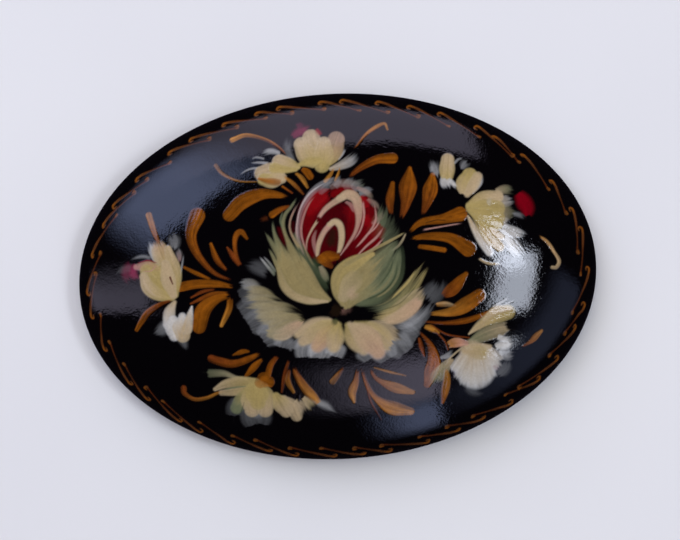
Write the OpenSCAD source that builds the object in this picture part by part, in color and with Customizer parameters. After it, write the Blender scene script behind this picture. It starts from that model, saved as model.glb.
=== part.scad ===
// Oval domed lacquer brooch: a hollow papier-mache dome, a flat board glued in its back,
// and a riveted bar pin with a hinged needle and a turning safety catch. Millimetres.
// +Z runs up through the painted dome and +X along the oval. The origin lies under the
// middle of the dome, in the plane that the rim rests on.

/* [Dome] */
// Length of the oval
oval_length = 68; // [64:1:74]
// Width of the oval
oval_width = 48; // [46:1:52]
// Height of the dome above its widest line
dome_height = 9; // [8.5:0.25:10]
// Height of the widest line above the resting plane
rim_height = 2; // [1.5:0.25:2.5]
// How far the rounded rim curls in below the widest line
rim_curl = 1.1; // [0.6:0.1:1.2]
// Thickness of the papier-mache wall
wall = 2.6; // [2.4:0.1:2.8]

/* [Back board] */
// Height of the board's face above the resting plane
board_seat = 5.4; // [5.2:0.1:5.6]
// Thickness of the board
board_thickness = 1.2; // [1:0.1:1.3]
// Glue line around the board's edge
glue_gap = 0.1; // [0.05:0.05:0.2]

/* [Pin bar] */
// Length of the stamped bar
bar_length = 38; // [36:1:40]
// Width of the stamped bar
bar_width = 5; // [4:0.5:6]
// Thickness of the bar's sheet
bar_thickness = 0.7; // [0.6:0.1:0.8]
// Distance from the middle to each fixing rivet
rivet_offset = 8; // [6:1:9]
// Radius of the fixing rivets
rivet_radius = 0.9; // [0.8:0.1:1]

/* [Needle] */
// Radius of the needle's wire
needle_radius = 0.4; // [0.35:0.05:0.45]
// Distance from the bar's hinge end to the hinge axis
hinge_inset = 2.6; // [2.2:0.1:3]
// Radius of the hinge rivet
hinge_radius = 0.5; // [0.4:0.05:0.55]

/* [Safety catch] */
// Distance from the bar's catch end to the middle of the catch
catch_inset = 4; // [3.8:0.1:5]
// Length of the catch housing
housing_length = 3.2; // [2.8:0.2:3.4]
// Width of the slots that the needle drops through
slot_width = 1.1; // [1.1:0.05:1.2]
// Reach of the thumb tab from the catch's axis
tab_reach = 2.4; // [2:0.1:2.5]
// Angle of the thumb tab from straight down when the catch is open
tab_angle = 60; // [55:5:70]

/* [Hidden] */
$fn = 96;
lacquer_black = [0.03, 0.03, 0.035];
nickel = [0.72, 0.71, 0.68];
steel = [0.62, 0.63, 0.65];
arc_steps = 24;
rim_steps = 8;
overcut = 1;
running_gap = 0.05;
rivet_gap = 0.05;
press_gap = 0.02;
eye_gap = 0.04;
needle_gap = 0.15;
seat_gap = 0.1;
lock_wall = 0.5;
housing_wall = 0.45;

// rivet heads: the flat crown and the brow, as fractions of the head's radius and height
head_crown = 0.55;
head_brow = 0.9;
head_lift = 0.6;
rivet_head = 1.6;
rivet_head_height = 0.4;
hinge_head = 0.85;
hinge_head_height = 0.35;

// dome
outer_x = oval_length / 2;
outer_y = oval_width / 2;
inner_x = outer_x - wall;
inner_y = outer_y - wall;
inner_height = dome_height - wall;
inner_squeeze = inner_y / inner_x;
inner_top = rim_height + inner_height;

// back board
board_top = board_seat + board_thickness;
board_x = inner_at(board_seat) - glue_gap - seat_gap;

// pin bar, hinge and catch
bar_face = board_seat - bar_thickness;
hinge_x = -bar_length / 2 + hinge_inset;
catch_x = bar_length / 2 - catch_inset;
lock_bore = needle_radius + needle_gap;
lock_radius = lock_bore + lock_wall;
housing_bore = lock_radius + running_gap;
housing_radius = housing_bore + housing_wall;
housing_foot = 0.4;
housing_foot_width = 3.4;
housing_neck_width = 1.6;
axis_z = bar_face - housing_foot - housing_radius;
ear_radius = 1.15;
ear_thickness = 0.55;
eye_radius = 1.2;
eye_width = 1.1;
ear_inside = eye_width / 2 + running_gap;
ear_outside = ear_inside + ear_thickness;
flange_lip = 0.4;
flange_radius = lock_radius + flange_lip;
flange_thickness = 0.4;
tab_length = 1.4;
tab_thickness = 0.5;
lock_start = catch_x - housing_length / 2 - running_gap - flange_thickness;
flange_end = catch_x + housing_length / 2 + running_gap + flange_thickness;
lock_end = flange_end + tab_length;
point_showing = 0.45;
point_length = 2.5;
point_taper = 0.08;
point_tip = 0.06;
shank_clearance = 0.6;
needle_end = lock_end + point_showing;
shank_end = lock_start - shank_clearance;
point_start = needle_end - point_length;
point_base = needle_radius - point_taper;

// half-length of the hollow at height z, on the elliptical inner dome
function inner_at(z) = inner_x * sqrt(1 - pow(max(z - rim_height, 0) / inner_height, 2));

// quarter ellipse from its side to its top, as [radius, height] points
function quarter(radius, height, base) =
    [for (i = [0 : arc_steps])
        [radius * cos(90 * i / arc_steps), base + height * sin(90 * i / arc_steps)]];

// the same curve, cut to the heights between low and high
function quarter_between(radius, height, base, low, high) =
    let (first = asin(max(low - base, 0) / height),
        last = asin(min(high - base, height) / height))
    [for (i = [0 : arc_steps])
        let (t = first + (last - first) * i / arc_steps)
        [radius * cos(t), base + height * sin(t)]];

// the rounded rim below the widest line, from inside to outside
function rim_curve() =
    [for (i = [0 : rim_steps])
        let (t = 90 - 90 * i / rim_steps)
        [outer_x - rim_curl * (1 - cos(t)), rim_height * (1 - sin(t))]];

module along_x(start, end) {
    translate([start, 0, axis_z]) rotate([0, 90, 0]) linear_extrude(end - start) children();
}

module dome_outside() {
    scale([1, outer_y / outer_x, 1])
        rotate_extrude()
            polygon(concat([[0, -overcut], [outer_x - rim_curl, -overcut]], rim_curve(),
                quarter(outer_x, dome_height, rim_height)));
}

module dome_inside() {
    scale([1, inner_squeeze, 1])
        rotate_extrude()
            polygon(concat([[0, -2 * overcut], [inner_x, -2 * overcut]],
                quarter_between(inner_x, inner_height, rim_height, 0, board_seat),
                [[board_x + glue_gap, board_seat], [board_x + glue_gap, board_top]],
                quarter_between(inner_x, inner_height, rim_height, board_top, inner_top)));
}

// everything under the plane that the rim rests on
module below_resting_plane() {
    depth = 4 * overcut;
    translate([0, 0, -depth / 2])
        cube([2 * oval_length, 2 * oval_width, depth], center = true);
}

module dome_shell() {
    color(lacquer_black)
        difference() {
            dome_outside();
            dome_inside();
            below_resting_plane();
        }
}

// a hole for a fixing rivet, through whatever lies between two heights
module rivet_holes(low, high) {
    for (side = [-1, 1])
        translate([side * rivet_offset, 0, low])
            cylinder(r = rivet_radius + rivet_gap, h = high - low);
}

module back_board() {
    color(lacquer_black)
        difference() {
            translate([0, 0, board_seat])
                scale([1, inner_squeeze, 1])
                    cylinder(r = board_x, h = board_thickness);
            rivet_holes(board_seat - overcut, board_top + overcut);
        }
}

// one of the two ears that hold the hinge rivet, on the side given
module ear(side) {
    middle = side * (ear_inside + ear_outside) / 2;
    translate([hinge_x, middle, axis_z]) {
        rotate([90, 0, 0]) cylinder(r = ear_radius, h = ear_thickness, center = true);
        translate([-ear_radius, -ear_thickness / 2, 0])
            cube([2 * ear_radius, ear_thickness, bar_face - axis_z + bar_thickness / 2]);
    }
}

module pin_bar() {
    end_x = (bar_length - bar_width) / 2;
    color(nickel)
        difference() {
            union() {
                translate([-end_x, -bar_width / 2, bar_face])
                    cube([2 * end_x, bar_width, bar_thickness]);
                for (side = [-1, 1]) {
                    translate([side * end_x, 0, bar_face])
                        cylinder(d = bar_width, h = bar_thickness);
                    ear(side);
                }
            }
            rivet_holes(bar_face - overcut, board_seat + overcut);
            translate([hinge_x, 0, axis_z]) rotate([90, 0, 0])
                cylinder(r = hinge_radius + press_gap, h = 2 * ear_outside + overcut, center = true);
        }
}

// a rivet along +Z from 0 to length, with a low domed head beyond each end
module rivet(radius, head_radius, head_height, length) {
    crown = head_radius * head_crown;
    brow = head_radius * head_brow;
    lift = head_height * head_lift;
    rotate_extrude()
        polygon([
            [0, -head_height], [crown, -head_height], [brow, -lift], [head_radius, 0],
            [radius, 0], [radius, length],
            [head_radius, length], [brow, length + lift], [crown, length + head_height],
            [0, length + head_height]
        ]);
}

module fixing_rivets() {
    color(nickel)
        for (side = [-1, 1])
            translate([side * rivet_offset, 0, bar_face])
                rivet(rivet_radius, rivet_head, rivet_head_height, bar_thickness + board_thickness);
}

module hinge_rivet() {
    color(steel)
        translate([hinge_x, ear_outside, axis_z])
            rotate([90, 0, 0])
                rivet(hinge_radius, hinge_head, hinge_head_height, 2 * ear_outside);
}

// round wire on the catch's axis, from one radius to another
module wire(start, end, radius_1, radius_2) {
    translate([start, 0, axis_z]) rotate([0, 90, 0])
        cylinder(r1 = radius_1, r2 = radius_2, h = end - start);
}

module needle() {
    color(steel)
        difference() {
            union() {
                translate([hinge_x, 0, axis_z]) rotate([90, 0, 0])
                    cylinder(r = eye_radius, h = eye_width, center = true);
                wire(hinge_x, shank_end, needle_radius, needle_radius);
                wire(shank_end, point_start, needle_radius, point_base);
                wire(point_start, needle_end, point_base, point_tip);
            }
            translate([hinge_x, 0, axis_z]) rotate([90, 0, 0])
                cylinder(r = hinge_radius + eye_gap, h = 2 * eye_width, center = true);
        }
}

// the slot that opens a tube along X towards the resting plane
module drop_slot(start, end, depth) {
    translate([start, -slot_width / 2, axis_z - depth])
        cube([end - start, slot_width, depth]);
}

module catch_housing() {
    start = catch_x - housing_length / 2;
    end = catch_x + housing_length / 2;
    color(nickel)
        difference() {
            union() {
                along_x(start, end) circle(r = housing_radius);
                translate([start, -housing_foot_width / 2, bar_face - housing_foot])
                    cube([housing_length, housing_foot_width, housing_foot]);
                translate([start, -housing_neck_width / 2, axis_z])
                    cube([housing_length, housing_neck_width, bar_face - axis_z]);
            }
            along_x(start - overcut, end + overcut) circle(r = housing_bore);
            drop_slot(start - overcut, end + overcut, housing_radius + overcut);
        }
}

module safety_lock() {
    color(nickel)
        difference() {
            union() {
                along_x(lock_start, lock_end) circle(r = lock_radius);
                along_x(lock_start, lock_start + flange_thickness) circle(r = flange_radius);
                along_x(flange_end - flange_thickness, flange_end) circle(r = flange_radius);
                translate([flange_end, 0, axis_z])
                    rotate([-tab_angle, 0, 0])
                        translate([0, -tab_thickness / 2, -tab_reach])
                            cube([tab_length, tab_thickness, tab_reach - lock_bore - lock_wall / 4]);
            }
            along_x(lock_start - overcut, lock_end + overcut) circle(r = lock_bore);
            drop_slot(lock_start - overcut, lock_end + overcut, flange_radius + overcut);
        }
}

dome_shell();
back_board();
pin_bar();
fixing_rivets();
hinge_rivet();
needle();
catch_housing();
safety_lock();
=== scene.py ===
"""An oval domed lacquer brooch, painted with a rose, small flowers and golden leaves.

The dome's mesh is built here and painted stroke by stroke: each stroke lays colour and a little
relief on a canvas in the brooch's own millimetres, and the mesh's points take both from it.
The back board, pin, needle and catch are the CAD frame's own parts with new materials.
"""
import math

import bpy
import numpy as np
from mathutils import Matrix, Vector


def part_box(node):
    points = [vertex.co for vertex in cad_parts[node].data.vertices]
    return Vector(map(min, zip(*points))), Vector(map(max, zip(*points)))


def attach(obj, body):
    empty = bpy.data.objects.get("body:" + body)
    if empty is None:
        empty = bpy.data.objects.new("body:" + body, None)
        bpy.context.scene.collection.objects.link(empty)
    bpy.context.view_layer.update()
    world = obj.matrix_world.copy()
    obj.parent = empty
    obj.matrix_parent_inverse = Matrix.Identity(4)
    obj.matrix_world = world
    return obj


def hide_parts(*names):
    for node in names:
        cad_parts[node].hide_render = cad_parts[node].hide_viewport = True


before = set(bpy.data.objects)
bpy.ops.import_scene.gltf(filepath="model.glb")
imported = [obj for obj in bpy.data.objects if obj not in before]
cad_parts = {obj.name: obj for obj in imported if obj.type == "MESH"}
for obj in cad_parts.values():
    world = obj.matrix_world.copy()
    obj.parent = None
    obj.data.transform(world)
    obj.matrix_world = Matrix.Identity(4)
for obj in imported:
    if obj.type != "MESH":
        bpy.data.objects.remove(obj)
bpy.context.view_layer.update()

MM = 0.001
shell_low, shell_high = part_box("dome_shell")
HALF_X = (shell_high.x - shell_low.x) / 2 / MM
HALF_Y = (shell_high.y - shell_low.y) / 2 / MM
TOP_Z = shell_high.z / MM
RIM_Z = 2.0          # height of the widest line, as in the CAD dome
RIM_CURL = 1.1       # how far the rim curls in below it
WALL = 2.6           # thickness of the dome, as in the CAD dome
board_low, board_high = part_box("back_board")
BOARD_LOW = board_low.z / MM
BOARD_HIGH = board_high.z / MM
BOARD_HALF_X = (board_high.x - board_low.x) / 2 / MM

# ---------------------------------------------------------------- colours


def linear(hexcode):
    """A hex colour as linear red, green and blue."""
    srgb = np.array([int(hexcode[i:i + 2], 16) for i in (0, 2, 4)]) / 255
    return np.where(srgb <= 0.04045, srgb / 12.92, ((srgb + 0.055) / 1.055) ** 2.4)


PAINTS = {name: linear(code) for name, code in {
    "ground": "030203",
    "ivory": "9a8650",
    "straw": "85764c",
    "linen": "8e8264",
    "cream": "a6906c",
    "peach": "a8886a",
    "white": "b4aea2",
    "sage": "66694a",
    "pine": "28321e",
    "scarlet": "7e0b10",
    "red": "6c0408",
    "maroon": "400206",
    "crimson": "740210",
    "magenta": "74203a",
    "rose": "a87c6c",
    "ochre": "7c440a",
    "gold": "966424",
    "rust": "642e0e",
    "bronze": "5e3a1c",
    "umber": "1c1208",
}.items()}
THIN = np.array([-0.02, 0.07, 0.22])   # thin pale paint over black turns cool

# ---------------------------------------------------------------- canvas and brush

PITCH = 0.05         # canvas cell, mm
BRISTLE = 0.17       # spacing of the bristle marks, mm
TUFT = 0.5           # spacing of the tufts that bristles gather in, mm
HAIR_RUN = 2.5       # how far a bristle mark runs before it changes, mm
PATCH = 0.6          # length of a patch of fuller or poorer colour, mm
MARGIN = 1           # canvas beyond the oval on each side, mm
LEVELLING = 0.4      # share of the relief below that an opaque stroke fills in


class Canvas:
    """Colour, relief and gold laid on a sheet over the oval, in mm from its middle."""

    def __init__(self, half_x, half_y):
        self.half = np.array([half_x + MARGIN, half_y + MARGIN])
        self.shape = tuple((2 * self.half[::-1] / PITCH).astype(int) + 1)
        self.colour = np.ones(self.shape + (3,), np.float32) * PAINTS["ground"]
        self.relief = np.zeros(self.shape, np.float32)
        self.gold = np.zeros(self.shape, np.float32)
        self.cover = np.zeros(self.shape, np.float32)
        self.strokes = 0

    def window(self, path, reach):
        """The cells round a path, as slices and as their x and y."""
        low = np.maximum((path.min(0) - reach + self.half) / PITCH, 0).astype(int)
        high = ((path.max(0) + reach + self.half) / PITCH).astype(int) + 2
        part = np.s_[low[1]:high[1], low[0]:high[0]]
        rows, cols = self.relief[part].shape
        x = (low[0] + np.arange(cols)) * PITCH - self.half[0]
        y = (low[1] + np.arange(rows)) * PITCH - self.half[1]
        return part, x[None, :], y[:, None]

    def lay(self, part, colour, alpha, thick, gold):
        """Paint over a part of the canvas, as opaque as alpha."""
        a = alpha[..., None]
        self.colour[part] = self.colour[part] * (1 - a) + colour * a
        self.relief[part] = self.relief[part] * (1 - LEVELLING * alpha) + thick
        self.gold[part] = self.gold[part] * (1 - alpha) + gold * alpha
        self.cover[part] = np.maximum(self.cover[part], alpha)

    def at(self, layer, x, y):
        """A layer's value at each point, between the four cells round it."""
        u = np.clip((x + self.half[0]) / PITCH, 0, self.shape[1] - 1.001)
        v = np.clip((y + self.half[1]) / PITCH, 0, self.shape[0] - 1.001)
        i, j = u.astype(int), v.astype(int)
        fu, fv = u - i, v - j
        if layer.ndim == 3:
            fu, fv = fu[:, None], fv[:, None]
        return ((layer[j, i] * (1 - fu) + layer[j, i + 1] * fu) * (1 - fv)
                + (layer[j + 1, i] * (1 - fu) + layer[j + 1, i + 1] * fu) * fv)


def curve(points, count):
    """A smooth path through a few points (Catmull-Rom)."""
    p = np.array(points, float)
    pad = np.vstack([2 * p[0] - p[1], p, 2 * p[-1] - p[-2]])
    t = np.linspace(0, len(p) - 1, count)
    i = np.minimum(t.astype(int), len(p) - 2)
    f = (t - i)[:, None]
    a, b, c, d = pad[i], pad[i + 1], pad[i + 2], pad[i + 3]
    return (b + 0.5 * f * (c - a + f * (2 * a - 5 * b + 4 * c - d
                                        + f * (3 * b - a - 3 * c + d))))


def along(stations, u):
    """A value given at even stations along a stroke, smoothly between them."""
    n = len(stations)
    if n == 1:
        return np.full_like(u, stations[0])
    fine = curve([(k, s) for k, s in enumerate(stations)], 16 * n)
    return np.interp(u * (n - 1), fine[:, 0], fine[:, 1])


def near_path(path, x, y):
    """For each cell: how far along the path its nearest point is, its distance, and its lane.

    The lane is the signed distance to the side of the path, carried straight on past its ends.
    """
    steps = np.hypot(*np.diff(path, axis=0).T)
    start = np.concatenate([[0], np.cumsum(steps)]) / steps.sum()
    best = np.full((y.shape[0], x.shape[1]), 1e9)
    u = np.zeros_like(best)
    lane = np.ones_like(best)
    for k, (a, b) in enumerate(zip(path[:-1], path[1:])):
        d = b - a
        t = np.clip(((x - a[0]) * d[0] + (y - a[1]) * d[1]) / (d @ d), 0, 1)
        ex, ey = x - a[0] - t * d[0], y - a[1] - t * d[1]
        dist = ex * ex + ey * ey
        closer = dist < best
        best = np.where(closer, dist, best)
        u = np.where(closer, start[k] + t * (start[k + 1] - start[k]), u)
        lane = np.where(closer, (d[0] * ey - d[1] * ex) / math.hypot(*d), lane)
    return u, np.sqrt(best), lane


def marks(rng, u, v, rows, cols):
    """Smooth random marks that run along a stroke: u along it, v from -1 to 1 across it."""
    grid = rng.random((rows + 1, cols + 1))
    p = np.clip(u, 0, 1) * (rows - 0.001)
    q = (np.clip(v, -1, 1) + 1) / 2 * (cols - 0.001)
    i, j = p.astype(int), q.astype(int)
    f, g = p - i, q - j
    g = g * g * (3 - 2 * g)
    return ((grid[i, j] * (1 - g) + grid[i, j + 1] * g) * (1 - f)
            + (grid[i + 1, j] * (1 - g) + grid[i + 1, j + 1] * g) * f)


def step(low, high, value):
    """0 below low, 1 above high, and a smooth rise between them."""
    t = np.clip((value - low) / (high - low), 0, 1)
    return t * t * (3 - 2 * t)


# how each kind of stroke is laid: its opacity from start to end, how many mm its sides take to
# fade, how much thinner its sides are than its middle, how strongly the bristles show, what share
# of it each end takes to run out, and its thickness in mm
BRUSHES = {
    "petal": dict(opacity=(1, 1, 1), edge=0.25, soft=0.15, streak=0.12, tail=0, head=0,
                  thick=0.018),
    "feather": dict(opacity=(0.9, 0.95, 0.75), edge=0.22, soft=0.35, streak=0.6, tail=0.5,
                    head=0.1, thick=0.02),
    "wash": dict(opacity=(0.3, 0.3, 0.15), edge=0.6, soft=0.4, streak=0.6, tail=0.5, head=0.3,
                 thick=0.006),
    "halo": dict(opacity=(0.5, 0.5, 0.5), edge=0.5, soft=0.2, streak=0.7, tail=0.1, head=0.5,
                 thick=0.006, rim=0.12),
    "hair": dict(opacity=(0.9, 0.9, 0.7), edge=0.12, soft=0.2, streak=0.25, tail=0.3, head=0.15,
                 thick=0.02),
    "glow": dict(opacity=(0.9, 0.95, 0.6), edge=0.7, soft=0.3, streak=0.3, tail=0.4, head=0.2,
                 thick=0.006, cool=0),
    "leaf": dict(opacity=(0.75, 1, 1), edge=0.14, soft=0.25, streak=0.5, tail=0, head=0.15,
                 thick=0.02, cool=0, gold=1, vary=0.6, lean=0.3, mottle=0.5),
    "line": dict(opacity=(1, 1, 1), edge=0.12, soft=0.2, streak=0.2, tail=0, head=0,
                 thick=0.015, cool=0, gold=1, mottle=0.4),
}
# what a brush has unless it says otherwise: how much thin paint turns cool, how much pigment piles
# up at its outline, how much bronze powder it holds, how much its colour varies along its hairs,
# how much more colour one of its sides holds, and how patchy the colour is
USUAL = dict(cool=1, rim=0, gold=0, vary=0.16, lean=0, mottle=0.1)


def stroke(canvas, brush, paint, points, widths, **change):
    """One pull of the brush through points, as wide as widths say from its start to its end.

    paint is a colour, or two that blend from start to end. change alters the brush's settings.
    """
    b = {**USUAL, **BRUSHES[brush], **change}
    canvas.strokes += 1
    rng = np.random.default_rng(canvas.strokes)
    path = curve(points, 8 * len(points))
    length = np.hypot(*np.diff(path, axis=0).T).sum()
    part, x, y = canvas.window(path, max(widths) / 2 + b["edge"])
    u, d, lane = near_path(path, x, y)
    half = np.maximum(along(widths, u), 0.05) / 2
    v = lane / half
    tufts = max(2, int(max(widths) / TUFT))
    bristles = max(2, int(max(widths) / BRISTLE))
    hairs = marks(rng, u, v, max(1, int(length / HAIR_RUN)), bristles)
    mark = 0.6 * hairs + 0.4 * marks(rng, u, v, 2, tufts)
    across = d / half
    edge = np.minimum(b["edge"], 1.2 * half)
    alpha = step(-0.5, 0.5, (half - d) / edge) * along(b["opacity"], u)
    alpha *= 1 - b["soft"] * step(0.3, 1.0, across)
    alpha *= 1 + b["rim"] * np.exp(-((across - 0.85) / 0.12) ** 2)
    alpha *= 1 - b["streak"] * (1 - mark) * (0.3 + 0.7 * u)
    for run_out, from_end in ((b["tail"], 1 - u), (b["head"], u)):
        if run_out:
            ragged = 0.5 * marks(rng, 0 * u, v, 1, tufts) + 0.5 * marks(rng, 0 * u, v, 1, bristles)
            alpha *= step(0.8 * ragged - 0.15, 0.8 * ragged + 0.45, from_end / run_out)
    alpha = np.clip(alpha, 0, 1)
    names = (paint, paint) if isinstance(paint, str) else paint
    mix = (u + 0.5 * (mark - 0.5)).clip(0, 1)[..., None]
    colour = PAINTS[names[0]] * (1 - mix) + PAINTS[names[1]] * mix
    colour = colour * (1 + b["vary"] * (mark - 0.5))[..., None]
    loaded = b["lean"] * rng.choice([-1, 1])
    colour = colour * (1 + loaded * np.clip(v, -1, 1))[..., None]
    patches = marks(rng, u, v, max(2, int(length / PATCH)), tufts + 1)
    colour = colour * (1 + b["mottle"] * (patches - 0.5))[..., None]
    colour = colour * (1 + b["cool"] * (1 - alpha)[..., None] * THIN)
    ridge = np.exp(-((across - 0.8) / 0.16) ** 2)
    thick = b["thick"] * alpha * (0.6 + 0.4 * mark + 0.2 * ridge)
    canvas.lay(part, colour, alpha, thick, b["gold"])


def strokes(canvas, rows):
    """Several pulls, each given as brush, paint, points and widths, and maybe changes."""
    for row in rows:
        brush, paint, points, widths = row[:4]
        stroke(canvas, brush, paint, points, widths, **(row[4] if len(row) > 4 else {}))


def fan(canvas, brush, paint, foot, tips, widths, **change):
    """Pulls that all start near one foot and end at the tips, one after another."""
    for x, y in tips:
        start = (foot[0] + 0.15 * (x - foot[0]), foot[1] + 0.15 * (y - foot[1]))
        middle = ((start[0] + x) / 2, (start[1] + y) / 2)
        stroke(canvas, brush, paint, [start, middle, (x, y)], widths, **change)


# ---------------------------------------------------------------- the painting, in mm


def paint_border(canvas):
    """The gold running scroll along the rim: long slanting lines that hook at both ends."""
    repeats = 42
    inset_x, inset_y, drop = 1.75, 1.25, 0.35
    a, b = HALF_X - inset_x, HALF_Y - inset_y
    ring = np.linspace(0, 2 * math.pi, 2001)
    length = np.concatenate([[0], np.cumsum(np.hypot(np.diff(a * np.cos(ring)),
                                                     np.diff(b * np.sin(ring))))])
    rng = np.random.default_rng(7)

    def place(s, out):
        """The point s mm clockwise round the border and out mm outwards."""
        t = np.interp((-s) % length[-1], length, ring)
        normal = np.array([math.cos(t) / a, math.sin(t) / b])
        normal /= np.hypot(*normal)
        return (a * math.cos(t) + out * normal[0], b * math.sin(t) - drop + out * normal[1])

    pace = length[-1] / repeats
    for k in range(repeats):
        s = (k + rng.uniform(-0.22, 0.22)) * pace
        reach = pace + rng.uniform(0.6, 2.4)
        up, down = rng.uniform(0.3, 0.6), rng.uniform(-0.95, -0.6)
        curl = rng.uniform(0, 0.3)
        crook = [(0.4, 0.1), (0.15, 0.1), (0.0, 0.5 * up), (0.3, up), (1.0, 0.8 * up)]
        sweep = [(0.35 * reach, 0.2 * up), (0.7 * reach, 0.55 * down), (reach - 0.2, down)]
        end = [(reach, down), (reach + 0.1, down + curl), (reach - 0.3, down + 1.1 * curl)]
        for paint, route, widths, opacity in (
                (("bronze", "rust"), crook + sweep, (0.2, 0.3, 0.34, 0.3, 0.24, 0.19, 0.2, 0.26),
                 (0.6, 0.7, 0.4, 0.45)),
                ("ochre", crook[1:], (0.14, 0.26, 0.28, 0.12), (0.5, 0.7, 0.25)),
                (("bronze", "ochre"), sweep[-1:] + end, (0.28, 0.34, 0.26, 0.15), (0.5, 0.8, 0.5))):
            stroke(canvas, "line", paint, [place(s + run, out) for run, out in route], widths,
                   opacity=opacity)


def paint_left_leaves(canvas):
    """The fan of golden leaves to the left of the rose."""
    strokes(canvas, [
        ("leaf", "ochre", [(-5.4, 10.5), (-8.8, 11.1), (-11.6, 10.3), (-13.4, 8.7)], (0.3, 1.2, 1.9,
         1.7)),
        ("leaf", ("rust", "ochre"), [(-5.4, 9.4), (-6.8, 9.0), (-7.9, 8.4)], (0.2, 0.7, 0.9)),
        ("wash", "rust", [(-8.2, 8.1), (-9.8, 7.7)], (0.7, 0.5)),
        ("leaf", ("rust", "ochre"), [(-13.4, 0.2), (-15.8, 1.4), (-17.8, 3.9), (-18.5, 6.4),
         (-17.6, 8.8)], (0.25, 0.55, 0.9, 1.4, 2.1)),
        ("leaf", ("rust", "ochre"), [(-14.0, 1.4), (-15.3, 3.0), (-16.0, 5.1)], (0.25, 0.75, 0.35)),
        ("leaf", "rust", [(-12.3, 2.0), (-13.1, 3.2), (-13.9, 4.5)], (0.5, 0.75, 0.25)),
        ("leaf", ("rust", "ochre"), [(-12.4, 2.1), (-12.9, 4.2), (-12.7, 5.9), (-12.0, 6.4),
         (-11.3, 5.5)], (0.3, 0.45, 0.6, 0.75, 0.3)),
        ("leaf", "ochre", [(-16.2, 0.5), (-18.0, 1.4), (-19.6, 2.3)], (0.25, 0.5, 0.3)),
        ("leaf", "ochre", [(-13.2, -0.6), (-15.6, -0.05), (-18.2, 0.05), (-20.3, -0.2)], (0.3, 0.9,
         1.1, 1.2)),
        ("leaf", "rust", [(-15.6, -0.7), (-17.4, -0.95), (-18.9, -1.6)], (0.2, 0.45, 0.25)),
        ("leaf", ("ochre", "rust"), [(-13.8, -1.4), (-16.2, -1.4), (-19.0, -2.4)], (0.4, 0.65, 0.25)),
        ("leaf", "ochre", [(-13.8, -1.7), (-15.6, -2.0), (-17.4, -3.3), (-18.1, -5.4)], (0.5, 1.2, 2.0,
         1.8)),
        ("leaf", ("ochre", "gold"), [(-13.9, -1.8), (-14.1, -3.3), (-15.2, -5.4)], (0.7, 0.8, 0.5)),
    ])


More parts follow.
